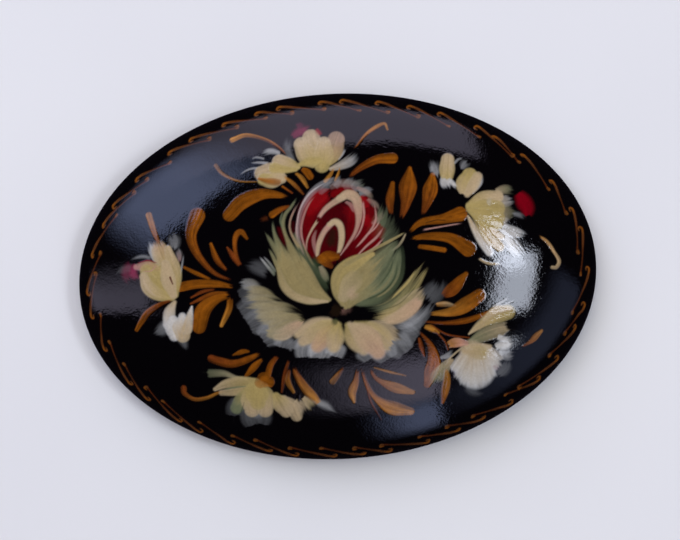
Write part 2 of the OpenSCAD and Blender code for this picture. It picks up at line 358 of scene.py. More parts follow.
def paint_left_flower(canvas):
    """The flower and the bud at the far left."""
    strokes(canvas, [
        ("wash", "white", [(-23.2, 3.4), (-25.0, 4.0), (-27.0, 3.5)], (0.4, 0.5, 0.3)),
        ("wash", "white", [(-26.0, 2.6), (-27.8, 2.4), (-28.8, 1.8)], (0.9, 1.0, 0.4),
         dict(opacity=(0.15, 0.12, 0.06))),
        ("glow", "magenta", [(-26.4, 3.4), (-27.1, 2.0), (-26.4, 0.5)], (0.8, 1.5, 0.8),
         dict(opacity=(0.35, 0.5, 0.3))),
        ("glow", "magenta", [(-25.8, 3.2), (-26.3, 2.0), (-25.6, 0.9)], (0.7, 1.0, 0.6)),
        ("leaf", ("rust", "gold"), [(-22.6, 5.2), (-23.3, 7.2), (-23.9, 9.3)], (0.3, 0.7, 0.8)),
        ("wash", "white", [(-20.9, 4.4), (-20.7, 5.8), (-21.2, 7.3)], (0.8, 1.5, 0.8),
         dict(opacity=(0.3, 0.28, 0.15))),
        ("wash", ("rose", "white"), [(-20.1, 2.8), (-20.2, 4.2), (-20.4, 5.2)], (0.3, 0.7, 0.4),
         dict(opacity=(0.5, 0.5, 0.3))),
        ("hair", "white", [(-20.2, 0.9), (-19.9, 2.4), (-19.5, 4.2)], (0.12, 0.24, 0.1),
         dict(opacity=(0.4, 0.4, 0.2))),
        ("feather", "white", [(-22.4, 2.6), (-23.4, 4.4), (-24.2, 6.2)], (1.0, 1.3, 0.4)),
        ("petal", ("ivory", "peach"), [(-22.0, 2.0), (-22.6, 4.4), (-23.3, 6.6)], (1.8, 2.3, 1.0),
         dict(soft=0.25, streak=0.35, tail=0.35)),
        ("petal", ("ivory", "cream"), [(-20.9, -1.2), (-20.9, 1.6), (-21.6, 4.8)], (0.7, 1.9, 0.9)),
        ("petal", ("ivory", "rose"), [(-22.9, 1.8), (-24.2, 2.6), (-25.9, 2.7)], (1.4, 1.5, 0.7),
         dict(opacity=(1, 0.95, 0.7))),
        ("petal", "ivory", [(-21.4, -1.4), (-22.6, -0.4), (-23.8, 1.0), (-24.6, 2.2)], (1.0, 2.4, 2.4,
         1.6), dict(soft=0.25)),
        ("petal", ("ivory", "cream"), [(-21.5, -1.6), (-23.2, -1.0), (-24.4, 0.0), (-24.9, 1.4)], (0.6,
         1.5, 1.8, 1.2)),
        ("petal", "cream", [(-21.2, -1.2), (-21.7, 0.6), (-22.0, 2.8)], (1.0, 1.9, 1.2),
         dict(soft=0.25)),
        ("line", "crimson", [(-23.2, 3.1), (-24.3, 3.45), (-25.6, 3.2)], (0.12, 0.2, 0.12),
         dict(gold=0, opacity=(0.7, 0.7, 0.5))),
        ("line", "rose", [(-23.3, 2.7), (-23.9, 2.1), (-24.9, 2.1)], (0.1, 0.14, 0.08), dict(gold=0)),
        ("line", "maroon", [(-21.5, 1.1), (-21.2, 0.25)], (0.26, 0.18), dict(gold=0)),
        ("leaf", ("rust", "ochre"), [(-20.9, -1.75), (-22.8, -2.2), (-24.6, -3.2), (-25.6, -4.4),
         (-26.3, -5.4)], (0.2, 0.45, 0.7, 0.8, 0.5)),
        ("wash", "white", [(-22.0, -4.6), (-23.0, -5.6), (-24.2, -6.2)], (1.2, 1.5, 0.6),
         dict(opacity=(0.35, 0.25, 0.12))),
        ("wash", "white", [(-20.6, -6.4), (-20.2, -7.4), (-19.9, -8.6)], (1.4, 0.9, 0.3),
         dict(opacity=(0.3, 0.2, 0.1))),
        ("petal", ("cream", "white"), [(-21.1, -2.1), (-21.8, -3.3), (-22.1, -4.9)], (0.5, 1.5, 1.4),
         dict(soft=0.25)),
        ("petal", "white", [(-21.4, -4.4), (-21.6, -5.4), (-21.4, -6.4)], (1.2, 1.9, 1.4),
         dict(soft=0.25)),
        ("petal", ("white", "cream"), [(-20.2, -4.0), (-20.3, -5.3), (-20.3, -6.4)], (1.0, 2.6, 1.9),
         dict(soft=0.25)),
        ("petal", ("white", "cream"), [(-18.9, -2.8), (-19.3, -4.2), (-19.7, -5.6)], (0.25, 1.0, 1.4)),
    ])


def paint_top_flower(canvas):
    """The flower above the rose, its side sprig, leaves and tendrils."""
    strokes(canvas, [
        ("wash", "white", [(-4.5, 14.6), (-5.5, 16.6), (-5.2, 18.8)], (0.3, 1.0, 0.6),
         dict(opacity=(0.25, 0.2, 0.1))),
        ("glow", "magenta", [(-5.0, 18.2), (-3.8, 18.9), (-2.0, 19.2)], (0.8, 1.2, 0.8),
         dict(opacity=(0.5, 0.7, 0.6))),
        ("wash", "magenta", [(-4.4, 19.6), (-3.0, 20.1)], (0.8, 0.5)),
        # side sprig
        ("feather", "white", [(-6.4, 16.2), (-7.8, 16.6), (-9.4, 16.1)], (0.5, 0.8, 0.4),
         dict(opacity=(0.5, 0.5, 0.3))),
        ("hair", "white", [(-8.0, 15.0), (-9.2, 15.2), (-10.6, 15.2)], (0.4, 0.3, 0.1),
         dict(opacity=(0.6, 0.45, 0.3))),
        ("hair", "white", [(-9.2, 14.5), (-10.6, 14.4), (-12.0, 13.7)], (0.3, 0.25, 0.1),
         dict(opacity=(0.5, 0.4, 0.25))),
        ("hair", "white", [(-8.4, 15.6), (-9.6, 15.9), (-10.4, 15.6)], (0.2, 0.25, 0.1),
         dict(opacity=(0.4, 0.4, 0.2))),
        ("petal", ("ivory", "cream"), [(-3.9, 14.2), (-5.2, 14.6), (-6.6, 15.1)], (0.3, 1.7, 2.0),
         dict(head=0.1)),
        ("petal", "cream", [(-6.6, 14.0), (-7.8, 14.0), (-9.0, 13.8)], (1.4, 2.2, 1.9),
         dict(soft=0.25)),
        ("petal", ("cream", "ivory"), [(-6.5, 13.0), (-7.8, 12.8), (-8.8, 13.0)], (1.4, 2.0, 1.6)),
        ("petal", "ivory", [(-4.6, 14.0), (-6.0, 14.1), (-7.4, 14.4)], (0.5, 1.0, 1.4)),
        ("leaf", "ochre", [(-6.4, 12.4), (-7.6, 12.6), (-8.6, 12.8), (-9.4, 13.1)], (0.7, 1.0, 0.8,
         0.4), dict(soft=0.4)),
        # the big flower: four rounded petals that meet at its foot
        ("feather", ("cream", "white"), [(-0.6, 13.7), (1.2, 14.2), (2.5, 14.8), (3.7, 15.9)], (0.3,
         1.0, 1.4, 0.9), dict(opacity=(0.9, 0.65, 0.4))),
        ("hair", "white", [(0.8, 14.8), (1.6, 15.8), (2.0, 16.6)], (0.2, 0.3, 0.2),
         dict(opacity=(0.5, 0.5, 0.3))),
        ("petal", ("ivory", "cream"), [(-1.6, 14.6), (-3.0, 15.8), (-3.7, 17.2)], (1.6, 2.6, 2.0),
         dict(soft=0.25, head=0.1)),
        ("petal", ("ivory", "cream"), [(-1.3, 14.5), (-2.1, 16.4), (-2.4, 18.0)], (1.8, 2.8, 2.3),
         dict(soft=0.25, head=0.1)),
        ("petal", ("ivory", "peach"), [(-0.9, 14.5), (0.2, 16.2), (0.8, 17.6)], (1.4, 2.7, 2.2),
         dict(opacity=(1, 0.95, 0.75), soft=0.15, head=0.1, streak=0.3)),
        ("petal", ("ivory", "cream"), [(-1.2, 14.4), (-0.9, 15.8), (-0.8, 17.2)], (2.0, 2.6, 1.8),
         dict(soft=0.25)),
        ("petal", "ivory", [(-4.1, 14.6), (-3.0, 14.9), (-1.6, 15.0)], (0.5, 1.2, 1.0),
         dict(soft=0.25)),
        ("glow", "scarlet", [(-1.8, 19.3), (-1.4, 18.7), (-1.0, 18.1)], (0.4, 0.6, 0.4),
         dict(opacity=(0.6, 0.7, 0.5))),
        ("leaf", "ochre", [(-3.9, 14.1), (-3.2, 13.6), (-2.8, 13.0)], (0.4, 0.9, 0.9), dict(tail=0)),
        ("leaf", "gold", [(-4.8, 13.7), (-3.9, 12.9), (-3.2, 11.6)], (0.25, 0.6, 0.3)),
        ("leaf", ("gold", "rust"), [(-6.3, 13.3), (-5.0, 12.2), (-3.8, 10.8)], (0.25, 0.5, 0.25)),
        ("leaf", ("ochre", "rust"), [(-6.6, 12.1), (-5.2, 11.0)], (0.3, 0.2)),
        ("leaf", "gold", [(0.3, 13.9), (-0.2, 13.1), (-0.9, 12.3)], (0.2, 0.5, 0.5)),
        ("leaf", "gold", [(1.1, 14.0), (0.8, 13.1), (0.4, 12.3)], (0.12, 0.3, 0.3)),
        ("leaf", ("rust", "gold"), [(-5.6, 15.8), (-6.6, 17.0), (-8.4, 18.2), (-10.8, 18.9),
         (-12.6, 18.4)], (0.15, 0.35, 0.4, 0.5, 0.7)),
        ("leaf", "gold", [(-9.4, 12.7), (-12.0, 13.0), (-14.0, 14.0), (-14.9, 15.2)], (0.15, 0.2, 0.35,
         0.5), dict(opacity=(0.5, 0.6, 0.7))),
        ("leaf", ("rust", "gold"), [(3.0, 16.2), (4.8, 18.2), (7.0, 19.4), (7.5, 18.6)], (0.2, 0.35,
         0.5, 0.3)),
    ])


def paint_upper_right_leaves(canvas):
    """The golden leaves at the upper right."""
    strokes(canvas, [
        ("leaf", ("rust", "ochre"), [(2.0, 12.5), (3.6, 13.7), (5.8, 14.7), (7.9, 14.8)], (0.4, 0.8,
         1.1, 1.4)),
        ("leaf", ("rust", "ochre"), [(7.3, 7.4), (7.2, 9.2), (7.7, 11.5)], (0.4, 1.1, 0.6)),
        ("leaf", ("rust", "ochre"), [(8.4, 6.7), (9.2, 8.8), (9.7, 11.4), (10.0, 13.3)], (0.4, 1.3,
         2.3, 0.6)),
        ("leaf", ("rust", "ochre"), [(11.2, 7.1), (12.0, 9.0), (12.6, 10.9), (12.9, 12.3)], (0.3, 1.2,
         1.9, 0.7)),
        ("leaf", "ochre", [(9.3, 5.0), (11.0, 6.3), (13.8, 6.6), (16.1, 7.1)], (0.35, 0.9, 1.2, 1.9)),
        ("line", "umber", [(11.6, 6.2), (13.0, 6.5), (14.2, 6.4)], (0.1, 0.14, 0.1)),
        ("hair", "rose", [(10.8, 5.3), (13.4, 5.6), (16.8, 6.0)], (0.2, 0.16, 0.2)),
        ("leaf", "ochre", [(9.3, 4.2), (11.6, 4.5), (14.6, 4.1), (16.9, 2.6)], (0.4, 0.9, 1.3, 2.0)),
        ("leaf", "ochre", [(10.2, 3.3), (12.0, 3.0), (13.8, 2.6)], (0.45, 0.6, 0.6)),
    ])


def paint_upper_right_flower(canvas):
    """The flower at the upper right and the small buds round it."""
    strokes(canvas, [
        ("wash", "white", [(13.6, 11.8), (13.2, 13.4), (13.0, 15.0)], (0.6, 1.1, 0.8),
         dict(opacity=(0.5, 0.45, 0.25))),
        ("wash", "white", [(12.9, 12.6), (12.7, 13.8)], (0.5, 0.3)),
        ("wash", "white", [(16.6, 12.8), (17.2, 13.6), (17.8, 14.1)], (0.5, 1.0, 0.8)),
        ("hair", "white", [(15.7, 13.6), (16.4, 14.2), (17.1, 14.3)], (0.3, 0.3, 0.15),
         dict(opacity=(0.4, 0.35, 0.2))),
        ("feather", "white", [(14.8, 12.2), (14.5, 11.2), (14.9, 10.2)], (1.4, 1.4, 0.6)),
        ("feather", "white", [(15.0, 11.6), (15.7, 10.8), (16.2, 10.2)], (0.6, 0.6, 0.3)),
        ("petal", ("ivory", "cream"), [(14.7, 11.4), (14.8, 12.8), (15.0, 14.2)], (1.2, 2.0, 1.7),
         dict(head=0.2)),
        ("feather", "white", [(17.6, 9.8), (18.6, 10.9), (19.5, 12.4)], (0.6, 1.1, 0.6)),
        ("petal", ("cream", "ivory"), [(16.9, 9.5), (17.1, 10.8), (17.7, 12.0)], (1.2, 2.6, 2.0),
         dict(head=0.1)),
        ("petal", "cream", [(17.2, 9.6), (18.0, 10.6), (18.7, 11.8)], (0.8, 1.5, 1.3), dict(soft=0.25)),
        ("feather", ("cream", "sage"), [(20.8, 9.7), (22.2, 10.0), (23.6, 9.7)], (0.7, 1.2, 0.8),
         dict(opacity=(0.9, 0.7, 0.5))),
        ("feather", ("cream", "white"), [(21.0, 8.4), (22.4, 8.5), (23.4, 8.6)], (1.2, 1.5, 0.8),
         dict(opacity=(0.9, 0.6, 0.35))),
        ("feather", ("cream", "sage"), [(21.0, 7.0), (22.4, 7.0), (23.6, 7.0)], (1.6, 1.8, 0.8),
         dict(opacity=(0.9, 0.6, 0.35))),
        ("feather", ("cream", "white"), [(21.0, 6.0), (22.0, 5.8), (22.9, 5.9)], (1.0, 1.2, 0.5),
         dict(opacity=(0.9, 0.7, 0.4))),
        ("glow", "crimson", [(23.8, 9.6), (24.4, 8.5), (24.9, 7.4), (24.8, 6.3)], (0.9, 1.9, 1.9, 1.0),
         dict(opacity=(0.9, 1, 0.9), soft=0.3, head=0.1, tail=0.1)),
        ("wash", "white", [(22.6, 6.8), (23.8, 6.6), (24.8, 5.8)], (0.5, 0.6, 0.3)),
        ("feather", "white", [(20.8, 4.9), (22.4, 3.0), (24.2, 0.8)], (1.2, 2.0, 1.2)),
        ("feather", "white", [(21.4, 5.2), (23.0, 4.4), (24.8, 3.8)], (1.0, 1.4, 0.6)),
        ("feather", "white", [(18.4, 4.6), (19.4, 2.6), (20.8, 0.8)], (0.6, 1.2, 0.9),
         dict(opacity=(0.7, 0.6, 0.4))),
        ("petal", ("cream", "white"), [(17.1, 6.8), (17.9, 5.0), (18.8, 3.4), (19.6, 2.0)], (0.25, 0.8,
         1.2, 1.0)),
        ("petal", ("ivory", "cream"), [(17.6, 7.1), (18.8, 5.4), (19.9, 3.8), (21.0, 2.6)], (0.3, 1.1,
         1.7, 1.2)),
        ("petal", "cream", [(19.9, 5.2), (20.5, 4.5), (21.3, 3.9)], (0.4, 0.9, 0.7)),
        ("hair", "umber", [(17.2, 7.4), (18.0, 6.2), (18.7, 5.0)], (0.14, 0.2, 0.08)),
        ("hair", "cream", [(18.0, 1.4), (19.4, 0.6), (21.3, 0.4)], (0.25, 0.35, 0.2)),
        ("petal", "ivory", [(17.6, 7.4), (19.2, 6.2), (20.9, 5.5)], (0.9, 1.7, 1.4)),
        ("petal", ("ivory", "cream"), [(17.4, 8.1), (19.2, 8.9), (21.1, 9.1)], (1.0, 1.9, 1.6)),
        ("petal", "ivory", [(17.5, 7.8), (19.4, 7.7), (21.0, 7.6)], (1.2, 2.3, 2.0), dict(soft=0.25)),
        ("petal", "ivory", [(17.8, 7.5), (19.6, 6.9), (21.1, 6.4)], (0.9, 1.8, 1.6), dict(soft=0.25)),
        ("wash", "white", [(19.6, 8.2), (20.2, 8.5), (20.6, 8.3)], (0.7, 1.0, 0.6)),
        ("leaf", ("gold", "cream"), [(26.0, 3.9), (27.2, 3.0), (28.1, 1.6), (28.7, 0.4), (28.3, -0.4),
         (27.7, -0.4)], (0.15, 0.4, 0.42, 0.4, 0.5, 0.4), dict(opacity=(0.8, 0.9, 0.9))),
    ])


def paint_rose_cup(canvas):
    """The red cup of the rose, its pale rims, and the arches and rays painted inside it."""
    strokes(canvas, [
        # thin pale petals behind the cup
        ("feather", "sage", [(4.3, 4.9), (5.9, 7.2), (6.6, 9.4)], (1.4, 1.8, 0.6),
         dict(opacity=(0.8, 0.7, 0.5))),
        ("feather", "sage", [(5.4, 4.6), (6.9, 6.4), (7.6, 8.0)], (1.2, 1.6, 0.4),
         dict(opacity=(0.5, 0.35, 0.2), streak=0.8)),
        ("feather", "sage", [(5.8, 4.0), (7.4, 5.2), (8.4, 6.6)], (1.0, 1.4, 0.3),
         dict(opacity=(0.5, 0.35, 0.2), streak=0.8)),
        ("feather", "white", [(0.2, 11.4), (0.9, 12.3), (1.4, 13.0)], (0.9, 1.0, 0.3),
         dict(opacity=(0.25, 0.3, 0.2), streak=0.85)),
        ("feather", "white", [(1.3, 11.2), (2.4, 12.1), (3.0, 12.8)], (1.0, 1.2, 0.4),
         dict(opacity=(0.3, 0.35, 0.2), streak=0.85)),
        ("feather", ("white", "sage"), [(2.4, 11.0), (3.6, 11.7), (4.4, 12.0)], (1.1, 1.3, 0.4),
         dict(opacity=(0.4, 0.4, 0.25), streak=0.85)),
        ("feather", "white", [(3.2, 10.4), (4.6, 10.8), (5.4, 10.8)], (1.0, 1.1, 0.4),
         dict(opacity=(0.3, 0.3, 0.2), streak=0.85)),
        # the red ground, darker towards its foot
        ("glow", ("maroon", "red"), [(-1.4, 1.6), (-2.9, 4.6), (-2.9, 8.4), (-1.2, 11.2)], (1.6, 3.0,
         3.2, 1.8), dict(opacity=(1, 1, 1, 0.8), tail=0.1)),
        ("glow", "maroon", [(-0.4, 1.2), (-0.4, 5.6), (0.6, 10.2)], (1.8, 5.2, 5.0),
         dict(opacity=(1, 1, 1), tail=0.1)),
        ("glow", ("maroon", "red"), [(0.4, 1.6), (3.0, 4.6), (3.8, 9.4)], (1.4, 3.6, 3.4),
         dict(opacity=(1, 1, 0.9), tail=0.1)),
        ("glow", ("maroon", "red"), [(1.6, 2.2), (4.2, 4.2), (5.8, 6.6)], (1.0, 2.6, 1.8),
         dict(opacity=(1, 1, 0.9), tail=0.1)),
        ("glow", "red", [(-0.8, 10.2), (1.6, 11.0), (3.6, 10.2)], (1.0, 1.4, 1.0),
         dict(opacity=(0.8, 0.8, 0.8))),
        ("glow", ("red", "scarlet"), [(-3.4, 7.4), (-2.8, 9.0), (-1.4, 10.4), (0.0, 11.0)], (1.0, 2.0,
         2.2, 1.2), dict(opacity=(0.6, 1, 1, 0.6), tail=0.2)),
        ("glow", "scarlet", [(3.3, 10.0), (4.0, 9.3), (4.3, 8.5)], (0.9, 1.4, 0.8),
         dict(opacity=(1, 1, 0.9), tail=0.1, head=0.1)),
        ("glow", ("scarlet", "red"), [(3.5, 7.6), (4.2, 6.8), (4.3, 5.6)], (0.8, 1.3, 0.7)),
        ("wash", "scarlet", [(0.8, 9.0), (2.0, 8.0), (2.2, 6.2)], (1.0, 1.6, 0.8), dict(cool=0)),
        # its rim: many fine pulls that lie side by side
        ("feather", ("rose", "white"), [(-4.1, 2.6), (-4.7, 5.4), (-4.5, 7.6), (-3.8, 9.4),
         (-2.6, 11.0), (-1.0, 12.0), (0.8, 12.6)], (0.2, 0.4, 0.5, 0.6, 0.8, 0.9, 0.5),
         dict(opacity=(0.5, 0.4, 0.3, 0.35, 0.35), tail=0.1, streak=0.8)),
        ("feather", "white", [(-1.8, 10.6), (-0.8, 11.6), (0.2, 12.4)], (0.5, 0.9, 0.4),
         dict(opacity=(0.1, 0.2, 0.2))),
        ("hair", ("rose", "white"), [(-3.9, 2.6), (-4.9, 5.2), (-4.7, 7.6), (-4.1, 9.3), (-3.0, 10.8),
         (-1.5, 11.8), (0.0, 12.4)], (0.14, 0.3, 0.26, 0.2, 0.26, 0.26, 0.14),
         dict(opacity=(0.9, 0.8, 0.7, 0.5))),
        ("hair", "rose", [(-3.6, 2.8), (-4.3, 5.4), (-4.1, 7.4), (-3.2, 9.4), (-1.9, 10.9)], (0.12,
         0.24, 0.3, 0.26, 0.12), dict(opacity=(0.8, 0.7, 0.5))),
        ("feather", ("rose", "linen"), [(-0.6, 11.3), (1.0, 11.9), (2.8, 11.6), (4.2, 10.8)], (0.5,
         1.0, 1.1, 0.4), dict(opacity=(0.25, 0.35, 0.35, 0.2), streak=0.9)),
        ("feather", ("rose", "linen"), [(3.0, 11.3), (4.5, 10.4), (5.2, 9.0)], (0.4, 0.7, 0.3),
         dict(opacity=(0.4, 0.6, 0.4), streak=0.8)),
        ("feather", ("rose", "linen"), [(4.2, 9.8), (5.3, 8.9), (5.8, 7.6)], (0.3, 0.8, 0.4),
         dict(opacity=(0.4, 0.5, 0.4), streak=0.8)),
        ("feather", ("rose", "sage"), [(4.6, 6.4), (5.9, 7.3), (6.6, 8.6)], (0.3, 0.7, 0.3),
         dict(opacity=(0.5, 0.4, 0.3), streak=0.8)),
        # the middle arch, with a broad crown and legs that run out thin
        ("hair", "rose", [(-2.3, 6.3), (-2.8, 5.0), (-2.7, 3.5), (-2.4, 2.1)], (0.15, 0.5, 0.4, 0.15),
         dict(opacity=(0.3, 0.5, 0.3))),
        ("hair", ("cream", "rose"), [(-1.9, 7.6), (-3.0, 6.1), (-3.7, 4.6), (-3.7, 3.0)], (0.4, 0.3,
         0.22, 0.1)),
        ("petal", ("rose", "cream"), [(-2.1, 7.5), (-1.2, 8.6), (-0.1, 9.4), (1.2, 10.1)], (0.4, 0.6,
         0.7, 0.9), dict(head=0.1, streak=0.35)),
        ("petal", ("cream", "rose"), [(0.8, 10.0), (1.9, 10.4), (2.8, 9.9), (3.1, 8.8), (3.1, 7.3),
         (2.6, 5.6), (1.6, 4.1), (0.5, 2.7)], (0.8, 1.3, 1.2, 0.9, 0.55, 0.4, 0.3, 0.12),
         dict(streak=0.5, opacity=(0.9, 1, 0.9, 0.85, 0.85, 0.9))),
        ("hair", "rose", [(1.4, 9.6), (2.2, 9.0), (2.6, 7.8)], (0.3, 0.5, 0.2),
         dict(opacity=(0.5, 0.5, 0.3))),
        ("hair", "rose", [(3.7, 9.6), (3.8, 7.6), (3.2, 5.7), (2.0, 4.1)], (0.3, 0.25, 0.22, 0.1)),
        # rays at the right
        ("hair", "rose", [(2.4, 3.4), (3.7, 4.7), (4.8, 6.0), (5.3, 7.2), (5.2, 8.6), (4.8, 9.8)],
         (0.12, 0.28, 0.28, 0.24, 0.2, 0.12)),
        ("hair", "rose", [(2.4, 2.3), (3.8, 3.6), (5.3, 4.8), (6.3, 6.1)], (0.12, 0.26, 0.32, 0.15)),
        ("hair", "rose", [(3.2, 2.5), (5.0, 3.5), (6.4, 4.9)], (0.12, 0.26, 0.14)),
        ("hair", "rose", [(4.0, 5.0), (5.2, 6.0), (6.0, 7.2)], (0.1, 0.2, 0.1)),
        # the inner arch, its dark heart and the ochre foot
        ("glow", "umber", [(-0.2, 6.2), (-0.5, 4.8), (-0.8, 3.2)], (1.0, 1.4, 1.4),
         dict(opacity=(0.7, 0.8, 0.7))),
        ("petal", ("cream", "rose"), [(-2.5, 2.5), (-2.2, 4.2), (-1.4, 5.8), (-0.3, 6.9)], (0.3, 0.6,
         0.65, 0.7), dict(head=0.1)),
        ("petal", "cream", [(-0.7, 6.7), (0.1, 7.0), (0.7, 6.4), (0.8, 5.0), (0.5, 3.6), (0.1, 2.7)],
         (0.6, 0.85, 0.8, 0.75, 0.6, 0.25), dict(tail=0.1)),
        ("leaf", "ochre", [(-2.2, 2.3), (-1.2, 2.6), (-0.1, 2.6)], (1.0, 1.5, 1.1), dict(head=0)),
        ("leaf", ("ochre", "rust"), [(-1.7, 2.3), (-1.1, 1.7), (-0.8, 1.4)], (1.4, 1.2, 0.7),
         dict(head=0)),
    ])


def paint_rose_left(canvas):
    """The big left petal: an opaque foot that parts into pointed tips."""
    strokes(canvas, [
        ("wash", "white", [(-8.4, 0.6), (-10.2, 1.8), (-12.2, 2.3)], (1.2, 1.8, 0.8),
         dict(opacity=(0.14, 0.12, 0.06))),
        ("hair", ("sage", "white"), [(-7.8, 0.4), (-9.0, 2.0), (-10.1, 3.5)], (0.4, 0.35, 0.1),
         dict(opacity=(0.6, 0.6, 0.5))),
        ("hair", ("sage", "white"), [(-7.8, 0.9), (-8.6, 2.2), (-9.4, 3.2)], (0.4, 0.3, 0.1),
         dict(opacity=(0.5, 0.5, 0.4))),
        ("glow", "maroon", [(-7.3, 7.2), (-6.7, 5.6), (-6.0, 3.6)], (0.5, 1.0, 0.6),
         dict(opacity=(0.6, 0.8, 0.6))),
        ("glow", "maroon", [(-5.2, 7.7), (-5.4, 6.0), (-5.0, 4.6)], (0.4, 0.7, 0.4),
         dict(opacity=(0.4, 0.5, 0.3))),
        ("glow", "pine", [(-3.4, 3.0), (-2.4, 1.2), (-1.2, -0.9), (-0.7, -2.2)], (0.8, 1.2, 1.0, 0.5)),
        ("feather", ("sage", "pine"), [(-5.4, 6.2), (-4.4, 3.4), (-3.2, 1.2), (-2.2, -0.4),
         (-1.1, -2.2)], (0.3, 1.1, 1.3, 1.1, 0.3), dict(opacity=(0.5, 0.8, 0.8, 0.7), tail=0.1,
         streak=0.6)),
        ("hair", "straw", [(-4.3, 4.6), (-3.5, 2.6), (-2.6, 0.9)], (0.12, 0.25, 0.15),
         dict(opacity=(0.5, 0.5, 0.3))),
        ("feather", ("cream", "sage"), [(-2.2, 1.6), (-1.7, 0.4), (-1.2, -0.9)], (0.5, 0.9, 0.4),
         dict(opacity=(0.5, 0.7, 0.5), tail=0.3)),
        # tips, from the cup outwards
        ("hair", ("straw", "rose"), [(-4.4, 3.4), (-5.6, 5.8), (-5.7, 7.3), (-5.0, 8.9), (-4.2, 10.2)],
         (0.5, 0.34, 0.26, 0.24, 0.1)),
        ("feather", ("straw", "sage"), [(-4.9, 1.6), (-6.0, 4.6), (-6.6, 6.8), (-6.3, 8.2),
         (-5.4, 9.3), (-4.4, 10.7)], (1.6, 1.1, 0.5, 0.5, 0.4, 0.12), dict(opacity=(1, 1, 0.8),
         streak=0.4, tail=0.15)),
        ("hair", "sage", [(-6.6, 6.4), (-6.9, 7.6), (-6.4, 9.0)], (0.2, 0.26, 0.1),
         dict(opacity=(0.7, 0.7, 0.4))),
        ("feather", ("straw", "sage"), [(-6.0, 1.2), (-7.2, 4.2), (-7.8, 6.2), (-7.9, 8.2)], (1.8, 1.2,
         0.5, 0.12), dict(opacity=(1, 0.95, 0.7), streak=0.4, tail=0.25)),
        ("feather", ("straw", "sage"), [(-6.2, 1.2), (-7.6, 3.8), (-8.4, 5.2), (-9.1, 6.6)], (1.8, 1.1,
         0.6, 0.12), dict(opacity=(1, 0.95, 0.7), streak=0.4, tail=0.25)),
        ("hair", ("straw", "sage"), [(-7.3, 1.0), (-8.1, 3.0), (-8.8, 4.6)], (0.7, 0.45, 0.1)),
        # the foot
        ("petal", "straw", [(-1.2, -2.9), (-3.2, -1.4), (-4.6, 1.0), (-5.5, 4.0)], (0.4, 2.2, 2.4,
         1.0), dict(tail=0.35)),
        ("petal", "straw", [(-1.4, -3.1), (-4.2, -2.2), (-6.0, 0.0), (-6.8, 2.8), (-7.3, 5.0)], (0.3,
         2.0, 2.6, 2.0, 0.7), dict(tail=0.3)),
        ("petal", ("cream", "straw"), [(-1.5, -3.1), (-3.6, -2.9), (-5.6, -2.2), (-6.9, -0.8),
         (-7.5, 1.4)], (0.25, 0.8, 1.0, 1.0, 0.5)),
    ])


